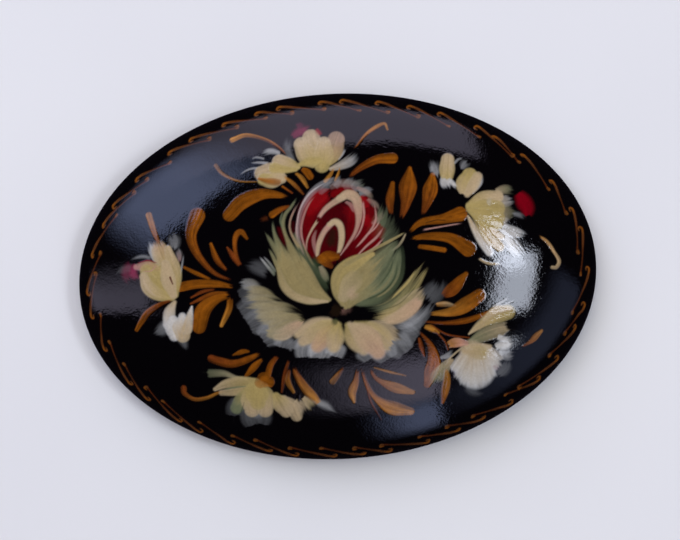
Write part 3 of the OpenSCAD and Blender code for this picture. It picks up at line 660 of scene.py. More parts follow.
def paint_rose_right(canvas):
    """The big right petal, opaque at its foot and thin and green at its far side."""
    strokes(canvas, [
        ("glow", "pine", [(1.4, -3.4), (4.6, -2.6), (7.0, -0.4), (7.8, 3.4)], (1.0, 2.2, 2.4, 1.4),
         dict(opacity=(0.9, 0.95, 0.9))),
        ("feather", ("sage", "pine"), [(1.5, -3.7), (4.9, -3.0), (7.3, -0.7), (8.0, 2.0), (8.2, 4.2)],
         (0.5, 1.5, 1.7, 1.6, 0.7), dict(opacity=(0.7, 0.8, 0.75, 0.7), tail=0.15)),
        ("petal", "sage", [(1.4, -2.8), (4.0, -1.2), (6.2, 1.0), (8.0, 4.0)], (1.0, 3.6, 3.6, 0.9),
         dict(opacity=(0.85, 0.85, 0.8), streak=0.5, tail=0.2)),
        ("feather", ("straw", "sage"), [(3.0, 0.4), (5.6, 2.2), (8.2, 4.3)], (1.4, 1.9, 0.5),
         dict(opacity=(0.8, 0.6, 0.6), tail=0.2)),
        ("hair", ("straw", "sage"), [(4.2, -3.2), (6.3, -2.1), (7.7, -0.3), (8.2, 2.0)], (0.2, 0.3,
         0.3, 0.12), dict(opacity=(0.7, 0.7, 0.5))),
        ("hair", ("straw", "sage"), [(3.2, -2.9), (5.4, -1.9), (6.9, -0.2), (7.5, 2.2)], (0.2, 0.36,
         0.36, 0.12), dict(opacity=(0.7, 0.7, 0.5))),
        ("hair", "pine", [(2.9, -3.3), (5.6, -2.3), (7.3, -0.4), (7.9, 2.4)], (0.15, 0.24, 0.24, 0.1),
         dict(cool=0, opacity=(0.6, 0.7, 0.5))),
        ("hair", "pine", [(2.6, -2.7), (4.9, -1.6), (6.7, 0.4), (7.3, 2.6)], (0.15, 0.24, 0.2, 0.1),
         dict(cool=0, opacity=(0.5, 0.6, 0.4))),
        ("petal", ("straw", "sage"), [(1.2, -3.9), (2.6, -2.4), (4.6, -0.8), (6.6, 1.4)], (0.5, 2.2,
         2.6, 1.4), dict(tail=0.6, streak=0.35)),
        ("petal", "straw", [(0.8, -4.0), (0.9, -2.3), (2.4, -0.4), (4.6, 1.2), (6.4, 2.6)], (0.5, 2.6,
         3.4, 3.0, 1.2), dict(tail=0.45, streak=0.25)),
        ("petal", ("straw", "ivory"), [(0.4, -3.6), (-0.1, -1.9), (0.3, 0.0), (2.0, 1.5), (4.6, 2.6)],
         (0.5, 1.6, 2.2, 1.7, 0.6)),
        ("petal", ("cream", "straw"), [(0.6, -2.6), (1.6, -1.0), (3.4, 0.6)], (1.4, 2.4, 1.4),
         dict(opacity=(0.5, 0.6, 0.5), tail=0.3)),
        ("wash", "peach", [(1.0, -3.2), (1.9, -2.2), (3.0, -1.6)], (0.8, 1.6, 1.0),
         dict(opacity=(0.4, 0.5, 0.3))),
        ("hair", "straw", [(0.3, 1.0), (2.8, 2.3), (5.2, 3.4), (7.4, 4.4), (9.2, 5.3)], (0.6, 0.5, 0.4,
         0.4, 0.12), dict(opacity=(1, 1, 0.95), tail=0.1)),
        ("hair", ("cream", "sage"), [(9.1, 5.2), (8.4, 4.0), (7.6, 3.2), (6.4, 2.6)], (0.12, 0.3, 0.3,
         0.12), dict(opacity=(0.8, 0.7, 0.4))),
    ])


def paint_rose_lower(canvas):
    """The fan of petals under the rose: thin pale skirts first, then opaque pulls over them."""
    skirts = [
        ([(-9.4, -1.4), (-11.4, -1.6), (-12.8, -2.0)], (2.0, 2.6, 1.6), 0.14),
        ([(-9.2, -2.6), (-11.6, -3.4), (-12.8, -4.0)], (2.4, 3.0, 2.2), 0.18),
        ([(-8.6, -4.4), (-10.6, -5.2), (-11.8, -5.8)], (2.6, 3.4, 2.4), 0.22),
        ([(-7.6, -6.0), (-9.4, -7.0), (-10.2, -7.6)], (2.6, 3.4, 2.4), 0.28),
        ([(-5.8, -6.8), (-7.2, -8.0), (-7.6, -8.8)], (2.4, 3.2, 2.2), 0.34),
        ([(-3.6, -7.6), (-4.6, -9.2), (-4.7, -10.2)], (2.2, 3.0, 2.2), 0.46),
        ([(-2.2, -8.0), (-2.8, -9.6), (-2.9, -10.4)], (2.4, 3.4, 2.6), 0.52),
        ([(-0.6, -8.0), (-0.9, -9.4), (-1.2, -10.2)], (2.2, 2.8, 2.2), 0.50),
        ([(2.6, -8.6), (3.4, -10.0), (3.8, -10.8)], (2.2, 3.2, 2.2), 0.30),
        ([(4.6, -8.6), (5.6, -10.2), (6.0, -11.0)], (2.6, 3.6, 2.4), 0.28),
        ([(6.0, -8.0), (7.6, -9.6), (8.2, -10.4)], (2.4, 3.6, 2.4), 0.26),
        ([(7.0, -7.2), (8.8, -8.2), (9.6, -8.8)], (2.0, 3.0, 2.0), 0.20),
        ([(7.6, -6.4), (9.4, -6.8), (10.4, -7.2)], (1.6, 2.6, 1.8), 0.14),
    ]
    for path, widths, opacity in skirts:
        stroke(canvas, "halo", "white", path, widths,
               opacity=(1.0 * opacity, opacity, 0.85 * opacity))
    strokes(canvas, [
        # left fan, from the top down
        ("feather", ("white", "linen"), [(-12.9, -0.2), (-11.2, -0.4), (-9.4, -0.9)], (1.0, 1.5, 0.3),
         dict(opacity=(0.3, 0.5, 0.4), head=0.3)),
        ("feather", ("linen", "straw"), [(-12.5, -1.5), (-11.2, -1.4), (-9.6, -1.7), (-7.4, -2.6)],
         (1.2, 1.9, 1.5, 0.2), dict(opacity=(0.5, 0.95, 0.9, 0.5), head=0.3)),
        ("feather", ("linen", "straw"), [(-12.6, -2.9), (-10.9, -2.7), (-8.9, -2.8), (-6.2, -3.8)],
         (1.0, 1.8, 1.8, 0.2), dict(opacity=(0.55, 1, 1, 0.5), head=0.3)),
        ("feather", ("linen", "straw"), [(-11.6, -4.1), (-9.4, -3.8), (-7.3, -3.9), (-4.6, -4.6)],
         (1.3, 2.1, 2.0, 0.3), dict(opacity=(0.65, 1, 1, 0.6), head=0.25)),
        ("feather", ("linen", "straw"), [(-11.0, -5.0), (-9.5, -4.8), (-7.7, -4.7), (-4.4, -5.0)],
         (1.2, 1.9, 1.9, 0.2), dict(opacity=(0.7, 1, 1, 0.6), head=0.25)),
        ("petal", ("linen", "straw"), [(-9.8, -6.1), (-8.3, -6.2), (-6.4, -5.5), (-4.2, -5.1)], (1.6,
         2.9, 2.4, 0.4), dict(tail=0.2, head=0.15, edge=0.5, streak=0.3)),
        ("petal", ("linen", "peach"), [(-9.0, -6.9), (-7.6, -7.0), (-6.0, -6.2), (-4.6, -5.3)], (1.1,
         1.6, 1.5, 0.4), dict(tail=0.2, head=0.15, edge=0.5, streak=0.3)),
        # lower left petal
        ("petal", "cream", [(-5.5, -7.1), (-4.6, -6.6), (-3.0, -5.9), (-0.6, -5.5)], (1.0, 1.7, 1.4,
         0.4), dict(tail=0.15, edge=0.5, streak=0.25)),
        ("petal", ("cream", "ivory"), [(-4.9, -8.0), (-4.0, -7.5), (-2.4, -6.5), (-0.6, -5.7)], (1.3,
         2.2, 1.9, 0.4), dict(edge=0.5, streak=0.25)),
        ("petal", ("peach", "ivory"), [(-3.1, -8.7), (-2.5, -8.1), (-1.4, -7.0), (-0.4, -5.9)], (1.7,
         2.4, 2.1, 0.5), dict(edge=0.5, streak=0.25)),
        ("petal", ("cream", "ivory"), [(-1.0, -8.8), (-0.7, -7.8), (-0.2, -6.2)], (1.8, 2.2, 0.7),
         dict(edge=0.5, streak=0.25)),
        # lower right petal
        ("feather", "cream", [(8.2, -8.4), (6.8, -7.8), (5.3, -6.9), (2.8, -6.3)], (1.0, 1.8, 1.8,
         0.6), dict(opacity=(0.6, 0.9, 1, 1), head=0.35, tail=0.2)),
        ("petal", ("cream", "ivory"), [(6.8, -9.4), (5.9, -8.9), (4.6, -7.6), (1.9, -6.2)], (1.5, 2.5,
         2.3, 0.7), dict(head=0.15, edge=0.5, streak=0.25)),
        ("petal", ("cream", "ivory"), [(2.8, -9.5), (2.3, -8.9), (1.5, -7.7), (0.9, -6.3)], (1.5, 2.3,
         2.1, 0.7), dict(edge=0.5, streak=0.25)),
        ("petal", ("peach", "cream"), [(4.6, -9.9), (4.1, -9.1), (3.0, -7.7), (1.2, -6.2)], (1.9, 3.0,
         2.5, 0.7), dict(edge=0.5, streak=0.25)),
        ("hair", "cream", [(-8.6, -7.4), (-7.2, -7.6), (-5.8, -6.8)], (0.15, 0.26, 0.15),
         dict(opacity=(0.5, 0.6, 0.4))),
        # right-hand petals, swept up into points
        ("wash", "white", [(10.8, -4.0), (12.6, -2.2), (13.2, -0.6)], (2.4, 2.6, 1.2),
         dict(opacity=(0.16, 0.14, 0.08))),
        ("feather", "white", [(6.6, -7.0), (9.3, -6.8), (10.9, -5.4), (12.8, -3.3)], (0.8, 1.4, 1.3,
         0.3), dict(opacity=(0.15, 0.22, 0.16), head=0.4)),
        ("feather", "white", [(5.5, -6.5), (8.2, -6.4), (10.2, -5.1), (12.0, -3.0)], (0.5, 1.5, 1.7,
         0.4), dict(opacity=(0.25, 0.4, 0.4), head=0.4)),
        ("feather", ("sage", "ivory"), [(3.2, -4.2), (5.8, -3.9), (7.9, -2.5), (10.2, 0.1),
         (11.5, 1.6)], (0.3, 1.0, 1.1, 0.6, 0.12), dict(opacity=(0.4, 0.7, 0.8, 0.6), tail=0.25,
         head=0.3, streak=0.8)),
        ("feather", ("sage", "ivory"), [(3.4, -4.7), (6.3, -4.4), (8.8, -2.9), (11.0, -0.2),
         (11.8, 1.0)], (0.3, 1.1, 1.3, 0.9, 0.12), dict(opacity=(0.5, 0.8, 0.9, 0.7), tail=0.2,
         head=0.3, streak=0.7)),
        ("hair", "ivory", [(6.6, -3.3), (8.9, -1.2), (10.4, 0.9)], (0.2, 0.36, 0.1)),
        ("feather", ("ivory", "cream"), [(3.6, -5.4), (6.6, -5.2), (9.1, -3.9), (11.3, -1.9)], (0.4,
         1.9, 2.4, 0.9), dict(opacity=(0.7, 1, 1, 0.85), head=0.3, tail=0.2)),
        ("petal", ("cream", "peach"), [(4.6, -6.0), (7.0, -5.8), (9.0, -4.7), (10.8, -3.1)], (0.3, 1.4,
         1.7, 0.8), dict(head=0.3, tail=0.15, edge=0.4)),
        ("hair", "pine", [(5.2, -4.7), (7.8, -3.8), (10.2, -1.5)], (0.1, 0.16, 0.1), dict(cool=0,
         opacity=(0.4, 0.6, 0.4))),
        # the dark knot where they meet
        ("glow", "umber", [(-1.2, -3.9), (-0.2, -4.6), (0.0, -5.4)], (1.2, 1.8, 1.2),
         dict(opacity=(0.8, 0.9, 0.7))),
        ("wash", ("rose", "umber"), [(0.3, -3.9), (0.9, -4.5), (1.2, -5.2)], (1.0, 1.5, 0.9),
         dict(opacity=(0.35, 0.35, 0.2), cool=0)),
        ("glow", "pine", [(-0.9, -5.3), (-0.6, -5.9), (-0.4, -6.2)], (0.5, 0.9, 0.5),
         dict(opacity=(0.7, 0.8, 0.5))),
    ])


def paint_right_leaves(canvas):
    """The golden leaves to the right of the rose, one with a painted highlight."""
    strokes(canvas, [
        ("leaf", ("rust", "ochre"), [(13.0, -3.3), (14.6, -2.4), (15.8, -1.2), (16.4, -0.6)], (0.5,
         1.6, 1.4, 0.6)),
        # a pale cream streak along this leaf: the lacquer's sheen on it, painted in as a painted
        # highlight
        ("leaf", ("gold", "cream"), [(12.2, -4.3), (13.6, -4.3), (14.8, -4.6)], (0.4, 0.7, 0.3),
         dict(opacity=(0.7, 0.8, 0.6), streak=0.8)),
        ("leaf", ("gold", "ochre"), [(11.2, -5.4), (14.2, -5.3), (16.4, -4.4), (18.0, -3.4)], (0.3,
         1.0, 1.9, 1.6)),
        ("leaf", ("rust", "ochre"), [(10.2, -6.3), (13.4, -6.7), (16.4, -6.5), (19.0, -5.7)], (0.2,
         0.45, 0.75, 0.5)),
        ("leaf", "gold", [(10.6, -7.0), (11.6, -7.3), (12.5, -7.9)], (0.4, 0.85, 0.3)),
        ("leaf", ("gold", "rose"), [(13.5, -9.6), (14.6, -9.3), (16.0, -9.4)], (0.8, 1.2, 0.5)),
        ("line", "rust", [(11.6, -6.9), (13.6, -8.2), (16.4, -8.8)], (0.15, 0.2, 0.15)),
        ("line", "rust", [(12.0, -7.6), (13.2, -9.0), (13.6, -10.2)], (0.12, 0.2, 0.12)),
        ("leaf", ("rust", "ochre"), [(9.9, -7.5), (11.3, -9.4), (11.7, -11.6), (11.2, -13.2),
         (10.7, -14.5)], (0.2, 0.6, 1.4, 1.9, 0.9)),
        ("leaf", "rust", [(9.9, -8.2), (10.2, -9.6), (10.5, -10.8)], (0.25, 0.6, 0.2)),
        ("leaf", ("rust", "gold"), [(23.0, -10.5), (24.4, -9.8), (25.3, -9.0), (25.9, -8.5)], (0.15,
         0.4, 0.8, 0.4)),
    ])


def paint_lower_right_flower(canvas):
    """The round white flower at the lower right, its upper petals and its buds."""
    strokes(canvas, [
        ("hair", "white", [(19.4, -5.1), (21.0, -4.4), (22.2, -3.6)], (0.3, 0.4, 0.15),
         dict(opacity=(0.5, 0.5, 0.3))),
        ("hair", "white", [(20.2, -5.1), (21.6, -4.7), (23.0, -4.2)], (0.2, 0.3, 0.15),
         dict(opacity=(0.4, 0.4, 0.2))),
        ("wash", "white", [(15.6, -14.6), (16.8, -15.6), (18.4, -15.6)], (1.2, 1.6, 1.0),
         dict(opacity=(0.12, 0.15, 0.1))),
        ("wash", "white", [(19.8, -14.0), (20.9, -13.0), (21.4, -11.8)], (1.2, 1.6, 1.0),
         dict(opacity=(0.2, 0.2, 0.1))),
        ("feather", "white", [(20.2, -10.5), (21.4, -11.4), (22.4, -11.4)], (0.8, 1.5, 0.7),
         dict(opacity=(0.6, 0.5, 0.3))),
        ("feather", "white", [(19.6, -10.2), (21.0, -9.9), (22.6, -9.4)], (0.7, 1.6, 1.1)),
        # upper petals
        ("feather", ("sage", "cream"), [(16.0, -9.6), (18.2, -8.6), (20.2, -8.0), (21.8, -7.8)], (0.4,
         1.6, 1.9, 1.4), dict(opacity=(1, 1, 0.85), tail=0.15)),
        ("feather", "white", [(20.0, -8.9), (21.0, -9.2), (21.6, -8.6)], (0.7, 0.8, 0.4)),
        ("petal", ("cream", "ivory"), [(16.4, -8.3), (17.8, -7.3), (19.8, -6.3), (21.6, -5.8)], (0.25,
         1.2, 2.0, 1.9), dict(soft=0.35)),
        ("petal", "cream", [(18.4, -6.6), (20.0, -5.5), (21.9, -5.4)], (0.4, 1.1, 0.6)),
        ("hair", "pine", [(17.6, -7.9), (19.4, -7.3), (21.4, -7.0)], (0.1, 0.2, 0.1), dict(cool=0,
         opacity=(0.6, 0.6, 0.3))),
        # lower left petals and buds
        ("feather", ("cream", "sage"), [(13.0, -11.8), (11.8, -13.2), (10.6, -15.0)], (0.4, 1.0, 0.6),
         dict(opacity=(0.7, 0.6, 0.4))),
        ("feather", ("cream", "sage"), [(14.2, -11.2), (12.8, -12.8), (11.6, -14.8)], (0.6, 1.6, 1.0),
         dict(opacity=(1, 0.9, 0.7), tail=0.3)),
        ("feather", "white", [(12.4, -11.2), (13.6, -10.9), (14.8, -10.2)], (0.3, 0.8, 0.6),
         dict(opacity=(0.4, 0.5, 0.4))),
        ("hair", "cream", [(13.4, -11.6), (14.6, -10.6), (15.8, -9.8)], (0.12, 0.24, 0.2)),
        # the round flower: one broad body, with fine pulls laid over it below
        ("petal", ("cream", "white"), [(16.6, -10.6), (16.9, -12.0), (17.1, -12.9)], (3.0, 5.8, 5.2),
         dict(soft=0.3, edge=0.6, streak=0.2)),
        ("petal", "cream", [(15.9, -9.9), (17.6, -10.0), (19.0, -10.2)], (0.4, 0.9, 0.7)),
        ("hair", "ground", [(19.1, -9.9), (20.1, -11.0), (20.8, -12.3)], (0.1, 0.2, 0.1), dict(cool=0)),
        ("leaf", ("gold", "rose"), [(13.6, -9.5), (14.8, -9.3), (16.0, -9.5)], (0.8, 1.2, 0.6)),
        ("leaf", ("gold", "ochre"), [(13.2, -12.4), (13.3, -13.8), (13.0, -15.4), (12.6, -17.0)], (0.3,
         0.9, 1.0, 0.4)),
    ])
    fan(canvas, "feather", ("cream", "white"), (17.2, -9.4),
        [(13.9, -13.2), (14.5, -14.4), (20.7, -12.2), (20.3, -13.4), (15.4, -15.2),
         (19.4, -14.6), (16.4, -15.6), (18.4, -15.3), (17.4, -15.7)],
        (0.6, 1.5, 1.2), opacity=(0.9, 0.95, 0.9), streak=0.45, tail=0.2)
    strokes(canvas, [
        ("petal", ("cream", "ivory"), [(15.7, -10.5), (17.3, -10.7), (19.2, -11.1)], (0.8, 1.9, 1.3),
         dict(soft=0.4, streak=0.4, tail=0.3)),
        ("wash", "magenta", [(19.1, -12.6), (19.9, -13.0), (20.2, -13.6)], (0.5, 0.8, 0.4),
         dict(opacity=(0.2, 0.25, 0.15))),
    ])


def paint_bottom_spray(canvas):
    """The spray of golden leaves under the rose."""
    strokes(canvas, [
        ("leaf", ("rust", "gold"), [(0.2, -11.6), (-0.6, -12.5), (-1.4, -13.4)], (0.2, 0.6, 0.8),
         dict(opacity=(0.4, 0.7, 0.8))),
        ("leaf", ("rust", "gold"), [(1.9, -11.8), (1.6, -13.4), (1.0, -14.9), (1.2, -16.2)], (0.25,
         0.7, 1.1, 0.4)),
        ("leaf", ("rust", "gold"), [(2.4, -11.6), (2.8, -13.6), (3.8, -15.6), (5.8, -17.2),
         (8.4, -17.9)], (0.25, 0.5, 0.8, 1.8, 1.0)),
        ("leaf", ("rust", "gold"), [(3.4, -11.8), (4.2, -13.3), (6.2, -14.5), (8.8, -15.4)], (0.3, 0.6,
         1.3, 0.6)),
        ("line", "gold", [(4.0, -11.9), (6.0, -12.6), (8.0, -13.2)], (0.15, 0.28, 0.15),
         dict(opacity=(0.5, 0.8, 0.5))),
        ("line", "rust", [(2.8, -14.0), (3.4, -16.4), (4.6, -18.8)], (0.15, 0.25, 0.12),
         dict(opacity=(0.5, 0.6, 0.3))),
    ])


def paint_lower_left_flower(canvas):
    """The flower at the lower left and its leaves."""
    strokes(canvas, [
        ("leaf", ("ochre", "rust"), [(-10.2, -9.1), (-12.0, -9.9), (-14.0, -10.4), (-15.8, -10.0),
         (-16.8, -9.6)], (0.3, 0.8, 0.95, 1.1, 1.0)),
        ("leaf", "ochre", [(-11.7, -9.0), (-12.6, -8.9), (-14.0, -9.3)], (0.2, 0.6, 0.15)),
        ("leaf", "ochre", [(-10.1, -9.9), (-11.2, -10.8), (-12.5, -12.1)], (0.25, 0.9, 0.4)),
        ("leaf", ("rust", "ochre"), [(-8.2, -9.6), (-9.2, -10.8), (-9.7, -12.2)], (0.5, 0.75, 0.8)),
        ("leaf", "rust", [(-6.8, -10.2), (-7.5, -12.2), (-8.0, -14.4)], (0.3, 0.5, 0.25),
         dict(opacity=(0.5, 0.7, 0.6))),
        ("leaf", ("rust", "gold"), [(-6.8, -11.4), (-7.2, -12.9), (-6.5, -14.5)], (0.3, 0.8, 0.4),
         dict(opacity=(0.6, 0.8, 0.7))),
        ("leaf", ("gold", "rust"), [(-14.8, -13.9), (-16.2, -14.1), (-17.8, -14.7), (-19.4, -14.8),
         (-20.6, -14.0), (-20.7, -13.3)], (0.2, 0.35, 0.45, 0.5, 0.55, 0.8)),
        ("feather", ("cream", "sage"), [(-12.0, -12.6), (-13.8, -12.2), (-15.4, -11.6),
         (-17.6, -11.5)], (0.3, 0.5, 0.9, 1.1), dict(opacity=(0.9, 0.85, 0.7), tail=0.1)),
        # thin skirts under the round flower
        ("wash", "white", [(-13.2, -15.2), (-14.2, -16.2), (-14.4, -17.3)], (1.8, 2.2, 1.8),
         dict(opacity=(0.3, 0.16, 0.08), tail=0.1)),
        ("wash", "white", [(-12.0, -16.4), (-12.2, -17.6), (-12.0, -18.7)], (2.4, 2.7, 2.0),
         dict(opacity=(0.26, 0.16, 0.1), tail=0.1)),
        ("wash", "white", [(-10.8, -16.6), (-10.6, -17.7), (-10.8, -18.6)], (2.0, 2.2, 1.6),
         dict(opacity=(0.26, 0.16, 0.1), tail=0.1)),
        # left petals
        ("petal", ("ivory", "cream"), [(-11.4, -13.6), (-13.4, -14.0), (-15.8, -14.1)], (1.0, 1.1,
         0.7), dict(streak=0.4)),
        ("petal", ("ivory", "cream"), [(-11.2, -13.0), (-13.4, -12.8), (-15.2, -13.0), (-16.6, -13.6)],
         (1.1, 1.4, 1.2, 0.5), dict(streak=0.4)),
        ("hair", "sage", [(-12.2, -13.4), (-14.2, -13.5), (-16.0, -13.9)], (0.1, 0.22, 0.1)),
        # the round flower
        ("petal", ("ivory", "sage"), [(-12.0, -14.2), (-13.2, -15.2), (-14.0, -16.2)], (1.6, 2.0, 1.6),
         dict(soft=0.25)),
        ("petal", ("ivory", "cream"), [(-11.8, -14.0), (-12.0, -15.4), (-12.0, -16.5)], (2.0, 2.8,
         2.0), dict(soft=0.25)),
        ("petal", ("ivory", "cream"), [(-10.6, -13.9), (-10.2, -15.4), (-10.3, -16.6)], (2.0, 2.7,
         2.0), dict(soft=0.25)),
        ("petal", "ivory", [(-11.2, -13.8), (-11.2, -14.8), (-11.2, -15.6)], (2.4, 3.0, 2.0),
         dict(soft=0.25)),
        ("hair", "ground", [(-12.9, -15.3), (-13.2, -16.2), (-13.6, -17.0)], (0.1, 0.2, 0.1),
         dict(opacity=(0.3, 0.4, 0.3))),
        # right petals
        ("feather", ("cream", "ivory"), [(-5.4, -15.2), (-4.4, -16.2), (-3.7, -17.1)], (0.5, 1.3, 1.2),
         dict(opacity=(1, 0.9, 0.7))),
        ("feather", "cream", [(-6.6, -15.6), (-5.6, -16.6), (-5.1, -17.6)], (0.8, 1.6, 1.3),
         dict(opacity=(1, 0.9, 0.7))),
        ("petal", "cream", [(-7.8, -15.3), (-6.8, -16.4), (-6.3, -17.6)], (0.9, 1.8, 1.5),
         dict(streak=0.6)),
        ("petal", ("ivory", "cream"), [(-8.8, -14.9), (-8.2, -15.9), (-7.6, -16.9)], (1.0, 2.2, 1.7),
         dict(streak=0.5)),
        ("hair", "ground", [(-5.9, -14.8), (-5.9, -15.6), (-6.0, -16.0)], (0.3, 0.4, 0.15),
         dict(cool=0)),
        ("wash", "white", [(-4.4, -15.6), (-2.6, -16.4), (-0.6, -17.6)], (0.5, 1.0, 0.5),
         dict(opacity=(0.6, 0.5, 0.4))),
        ("leaf", "ochre", [(-10.7, -13.0), (-10.2, -12.8), (-9.6, -13.0)], (1.5, 2.2, 1.5),
         dict(tail=0, head=0)),
        ("leaf", ("rust", "gold"), [(-6.4, -10.9), (-6.0, -12.2), (-5.0, -14.0), (-3.9, -15.4),
         (-3.3, -16.2)], (0.3, 0.8, 1.1, 1.2, 0.7), dict(tail=0.03)),
    ])


def paint_all():
    """The whole painting, in the order that its parts overlap."""
    canvas = Canvas(HALF_X, HALF_Y)
    for motif in (paint_border, paint_left_leaves, paint_bottom_spray, paint_left_flower,
                  paint_top_flower, paint_upper_right_leaves, paint_upper_right_flower,
                  paint_lower_left_flower, paint_rose_cup, paint_rose_lower,
                  paint_rose_left, paint_rose_right, paint_right_leaves,
                  paint_lower_right_flower):
        motif(canvas)
    return canvas


# ---------------------------------------------------------------- the dome's mesh

GRID_X, GRID_Y = 720, 512     # faces across the painted top
COARSE = 4                    # fine rim faces for each face of the underside
DOME_WAVE = 0.012             # height of the dome's broad unevenness, mm
LACQUER_WAVE = 0.0012         # height of the lacquer's fine unevenness, mm
BARE_RIM = 0.12               # share of the way in from the rim where relief still grows
RIM_RINGS = 10                # rings round the curled rim
LOW_RINGS, HIGH_RINGS = 12, 8  # rings of the hollow, below and above the board
POCKET_GAP = 0.1              # glue gap round the board, as in the CAD dome, mm
SHARP_ANGLE = 50              # edges that bend more than this stay sharp, degrees


def waves(x, y, size, seed):
    """Smooth random height between about -1 and 1, with bumps about size mm wide."""
    rng = np.random.default_rng(seed)
    total = np.zeros_like(x)
    for _ in range(9):
        angle, phase = rng.uniform(0, 2 * math.pi, 2)
        k = 2 * math.pi / (size * rng.uniform(0.7, 1.4))
        total += np.sin(k * (x * math.cos(angle) + y * math.sin(angle)) + phase)
    return total / 4


def top_points(canvas):
    """The painted top as a grid: its points, and the colours and masks they carry."""
    s, t = np.meshgrid(np.linspace(-1, 1, GRID_X + 1), np.linspace(-1, 1, GRID_Y + 1))
    u = s * np.sqrt(1 - t * t / 2)
    v = t * np.sqrt(1 - s * s / 2)
    rho = np.clip(np.hypot(u, v), 1e-9, 1)
    turn = np.linspace(0, math.pi / 2, 400)
    height = TOP_Z - RIM_Z
    mean = (HALF_X + HALF_Y) / 2
    arc = np.concatenate([[0], np.cumsum(np.hypot(np.diff(mean * np.sin(turn)),
                                                  np.diff(height * np.cos(turn))))])
    angle = np.interp(rho * arc[-1], arc, turn)
    x = (HALF_X * np.sin(angle) * u / rho).ravel()
    y = (HALF_Y * np.sin(angle) * v / rho).ravel()
    z = (RIM_Z + height * np.cos(angle)).ravel()
    normal = np.stack([x / HALF_X ** 2, y / HALF_Y ** 2, (z - RIM_Z) / height ** 2], 1)
    normal /= np.linalg.norm(normal, axis=1)[:, None]
    lift = canvas.at(canvas.relief, x, y)
    hand = DOME_WAVE * waves(x, y, 9.0, 1) + LACQUER_WAVE * waves(x, y, 1.1, 2)
    inside = step(0, BARE_RIM, 1 - rho.ravel())
    points = np.stack([x, y, z], 1) + normal * ((lift + hand) * inside)[:, None]
    masks = {"paint": canvas.at(canvas.colour, x, y),
             "gold": canvas.at(canvas.gold, x, y),
             "cover": canvas.at(canvas.cover, x, y)}
    return points, masks


def underside_rings():
    """(half length, half width, height) of each ring from the widest line to the hollow's top."""
    squeeze = HALF_Y / HALF_X
    inner_x, inner_y = HALF_X - WALL, HALF_Y - WALL
    inner_squeeze = inner_y / inner_x
    inner_height = TOP_Z - RIM_Z - WALL
    pocket = BOARD_HALF_X + POCKET_GAP

    def hollow(z):
        half = inner_x * math.sqrt(max(0, 1 - (max(z - RIM_Z, 0) / inner_height) ** 2))
        return half, half * inner_squeeze, z

    rim = []
    for k in range(1, RIM_RINGS + 1):
        t = math.pi / 2 * k / RIM_RINGS
        half = HALF_X - RIM_CURL * (1 - math.cos(t))
        rim.append((half, half * squeeze, RIM_Z * (1 - math.sin(t))))
    hollow_low = [hollow(z) for z in np.linspace(0, BOARD_LOW, LOW_RINGS)]
    pocket_wall = [(pocket, pocket * inner_squeeze, BOARD_LOW),
                   (pocket, pocket * inner_squeeze, BOARD_HIGH)]
    rise = math.asin((BOARD_HIGH - RIM_Z) / inner_height)
    hollow_high = [hollow(RIM_Z + inner_height * math.sin(t))
                   for t in np.linspace(rise, math.radians(88), HIGH_RINGS)]
    return rim, hollow_low + pocket_wall + hollow_high


def build_dome(canvas):
    """The dome as one closed mesh: the painted top, the curled rim and the hollow back."""
    points, masks = top_points(canvas)
    columns, rows = GRID_X + 1, GRID_Y + 1
    index = np.arange(rows * columns).reshape(rows, columns)
    faces = np.stack([index[:-1, :-1], index[:-1, 1:], index[1:, 1:], index[1:, :-1]], -1)
    faces = [tuple(f) for f in faces.reshape(-1, 4).tolist()]
    edge = np.concatenate([index[0, :-1], index[:-1, -1], index[-1, :0:-1], index[:0:-1, 0]])
    direction = points[edge][:, :2] / [HALF_X, HALF_Y]
    direction /= np.hypot(*direction.T)[:, None]
    rim, hollow = underside_rings()
    verts = [points]
    count = len(points)
    last = edge.tolist()
    for half_x, half_y, z in rim:
        verts.append(np.column_stack([direction * [half_x, half_y],
                                      np.full(len(last), z)]))
        ring = list(range(count, count + len(last)))
        count += len(last)
        for k in range(len(last)):
            n = (k + 1) % len(last)
            faces.append((last[n], last[k], ring[k], ring[n]))
        last = ring
    coarse = direction[::COARSE]
    for depth, (half_x, half_y, z) in enumerate(hollow):
        verts.append(np.column_stack([coarse * [half_x, half_y], np.full(len(coarse), z)]))
        ring = list(range(count, count + len(coarse)))
        count += len(coarse)
        for k in range(len(coarse)):
            n = (k + 1) % len(coarse)
            if depth == 0:
                fine = [last[(COARSE * k + j) % len(last)] for j in range(COARSE, -1, -1)]
                faces.append(tuple(fine + [ring[k], ring[n]]))
            else:
                faces.append((last[n], last[k], ring[k], ring[n]))
        last = ring
    verts.append(np.array([[0, 0, TOP_Z - WALL]]))
    faces += [(last[(k + 1) % len(last)], last[k], count) for k in range(len(last))]

    mesh = bpy.data.meshes.new("painted_dome")
    mesh.from_pydata((np.vstack(verts) * MM).tolist(), [], faces)
    mesh.update()
    mesh.polygons.foreach_set("use_smooth", np.ones(len(mesh.polygons), bool))
    mesh.set_sharp_from_angle(angle=math.radians(SHARP_ANGLE))
    total = len(mesh.vertices)
    colour = np.ones((total, 4), np.float32)
    colour[:, :3] = PAINTS["ground"]
    colour[:len(points), :3] = masks["paint"]
    layer = mesh.color_attributes.new("paint", "FLOAT_COLOR", "POINT")
    layer.data.foreach_set("color", colour.ravel())
    for name in ("gold", "cover"):
        values = np.zeros(total, np.float32)
        values[:len(points)] = masks[name]
        mesh.attributes.new(name, "FLOAT", "POINT").data.foreach_set("value", values)
    dome = bpy.data.objects.new("painted_dome", mesh)
    bpy.context.scene.collection.objects.link(dome)
    return dome


# ---------------------------------------------------------------- materials


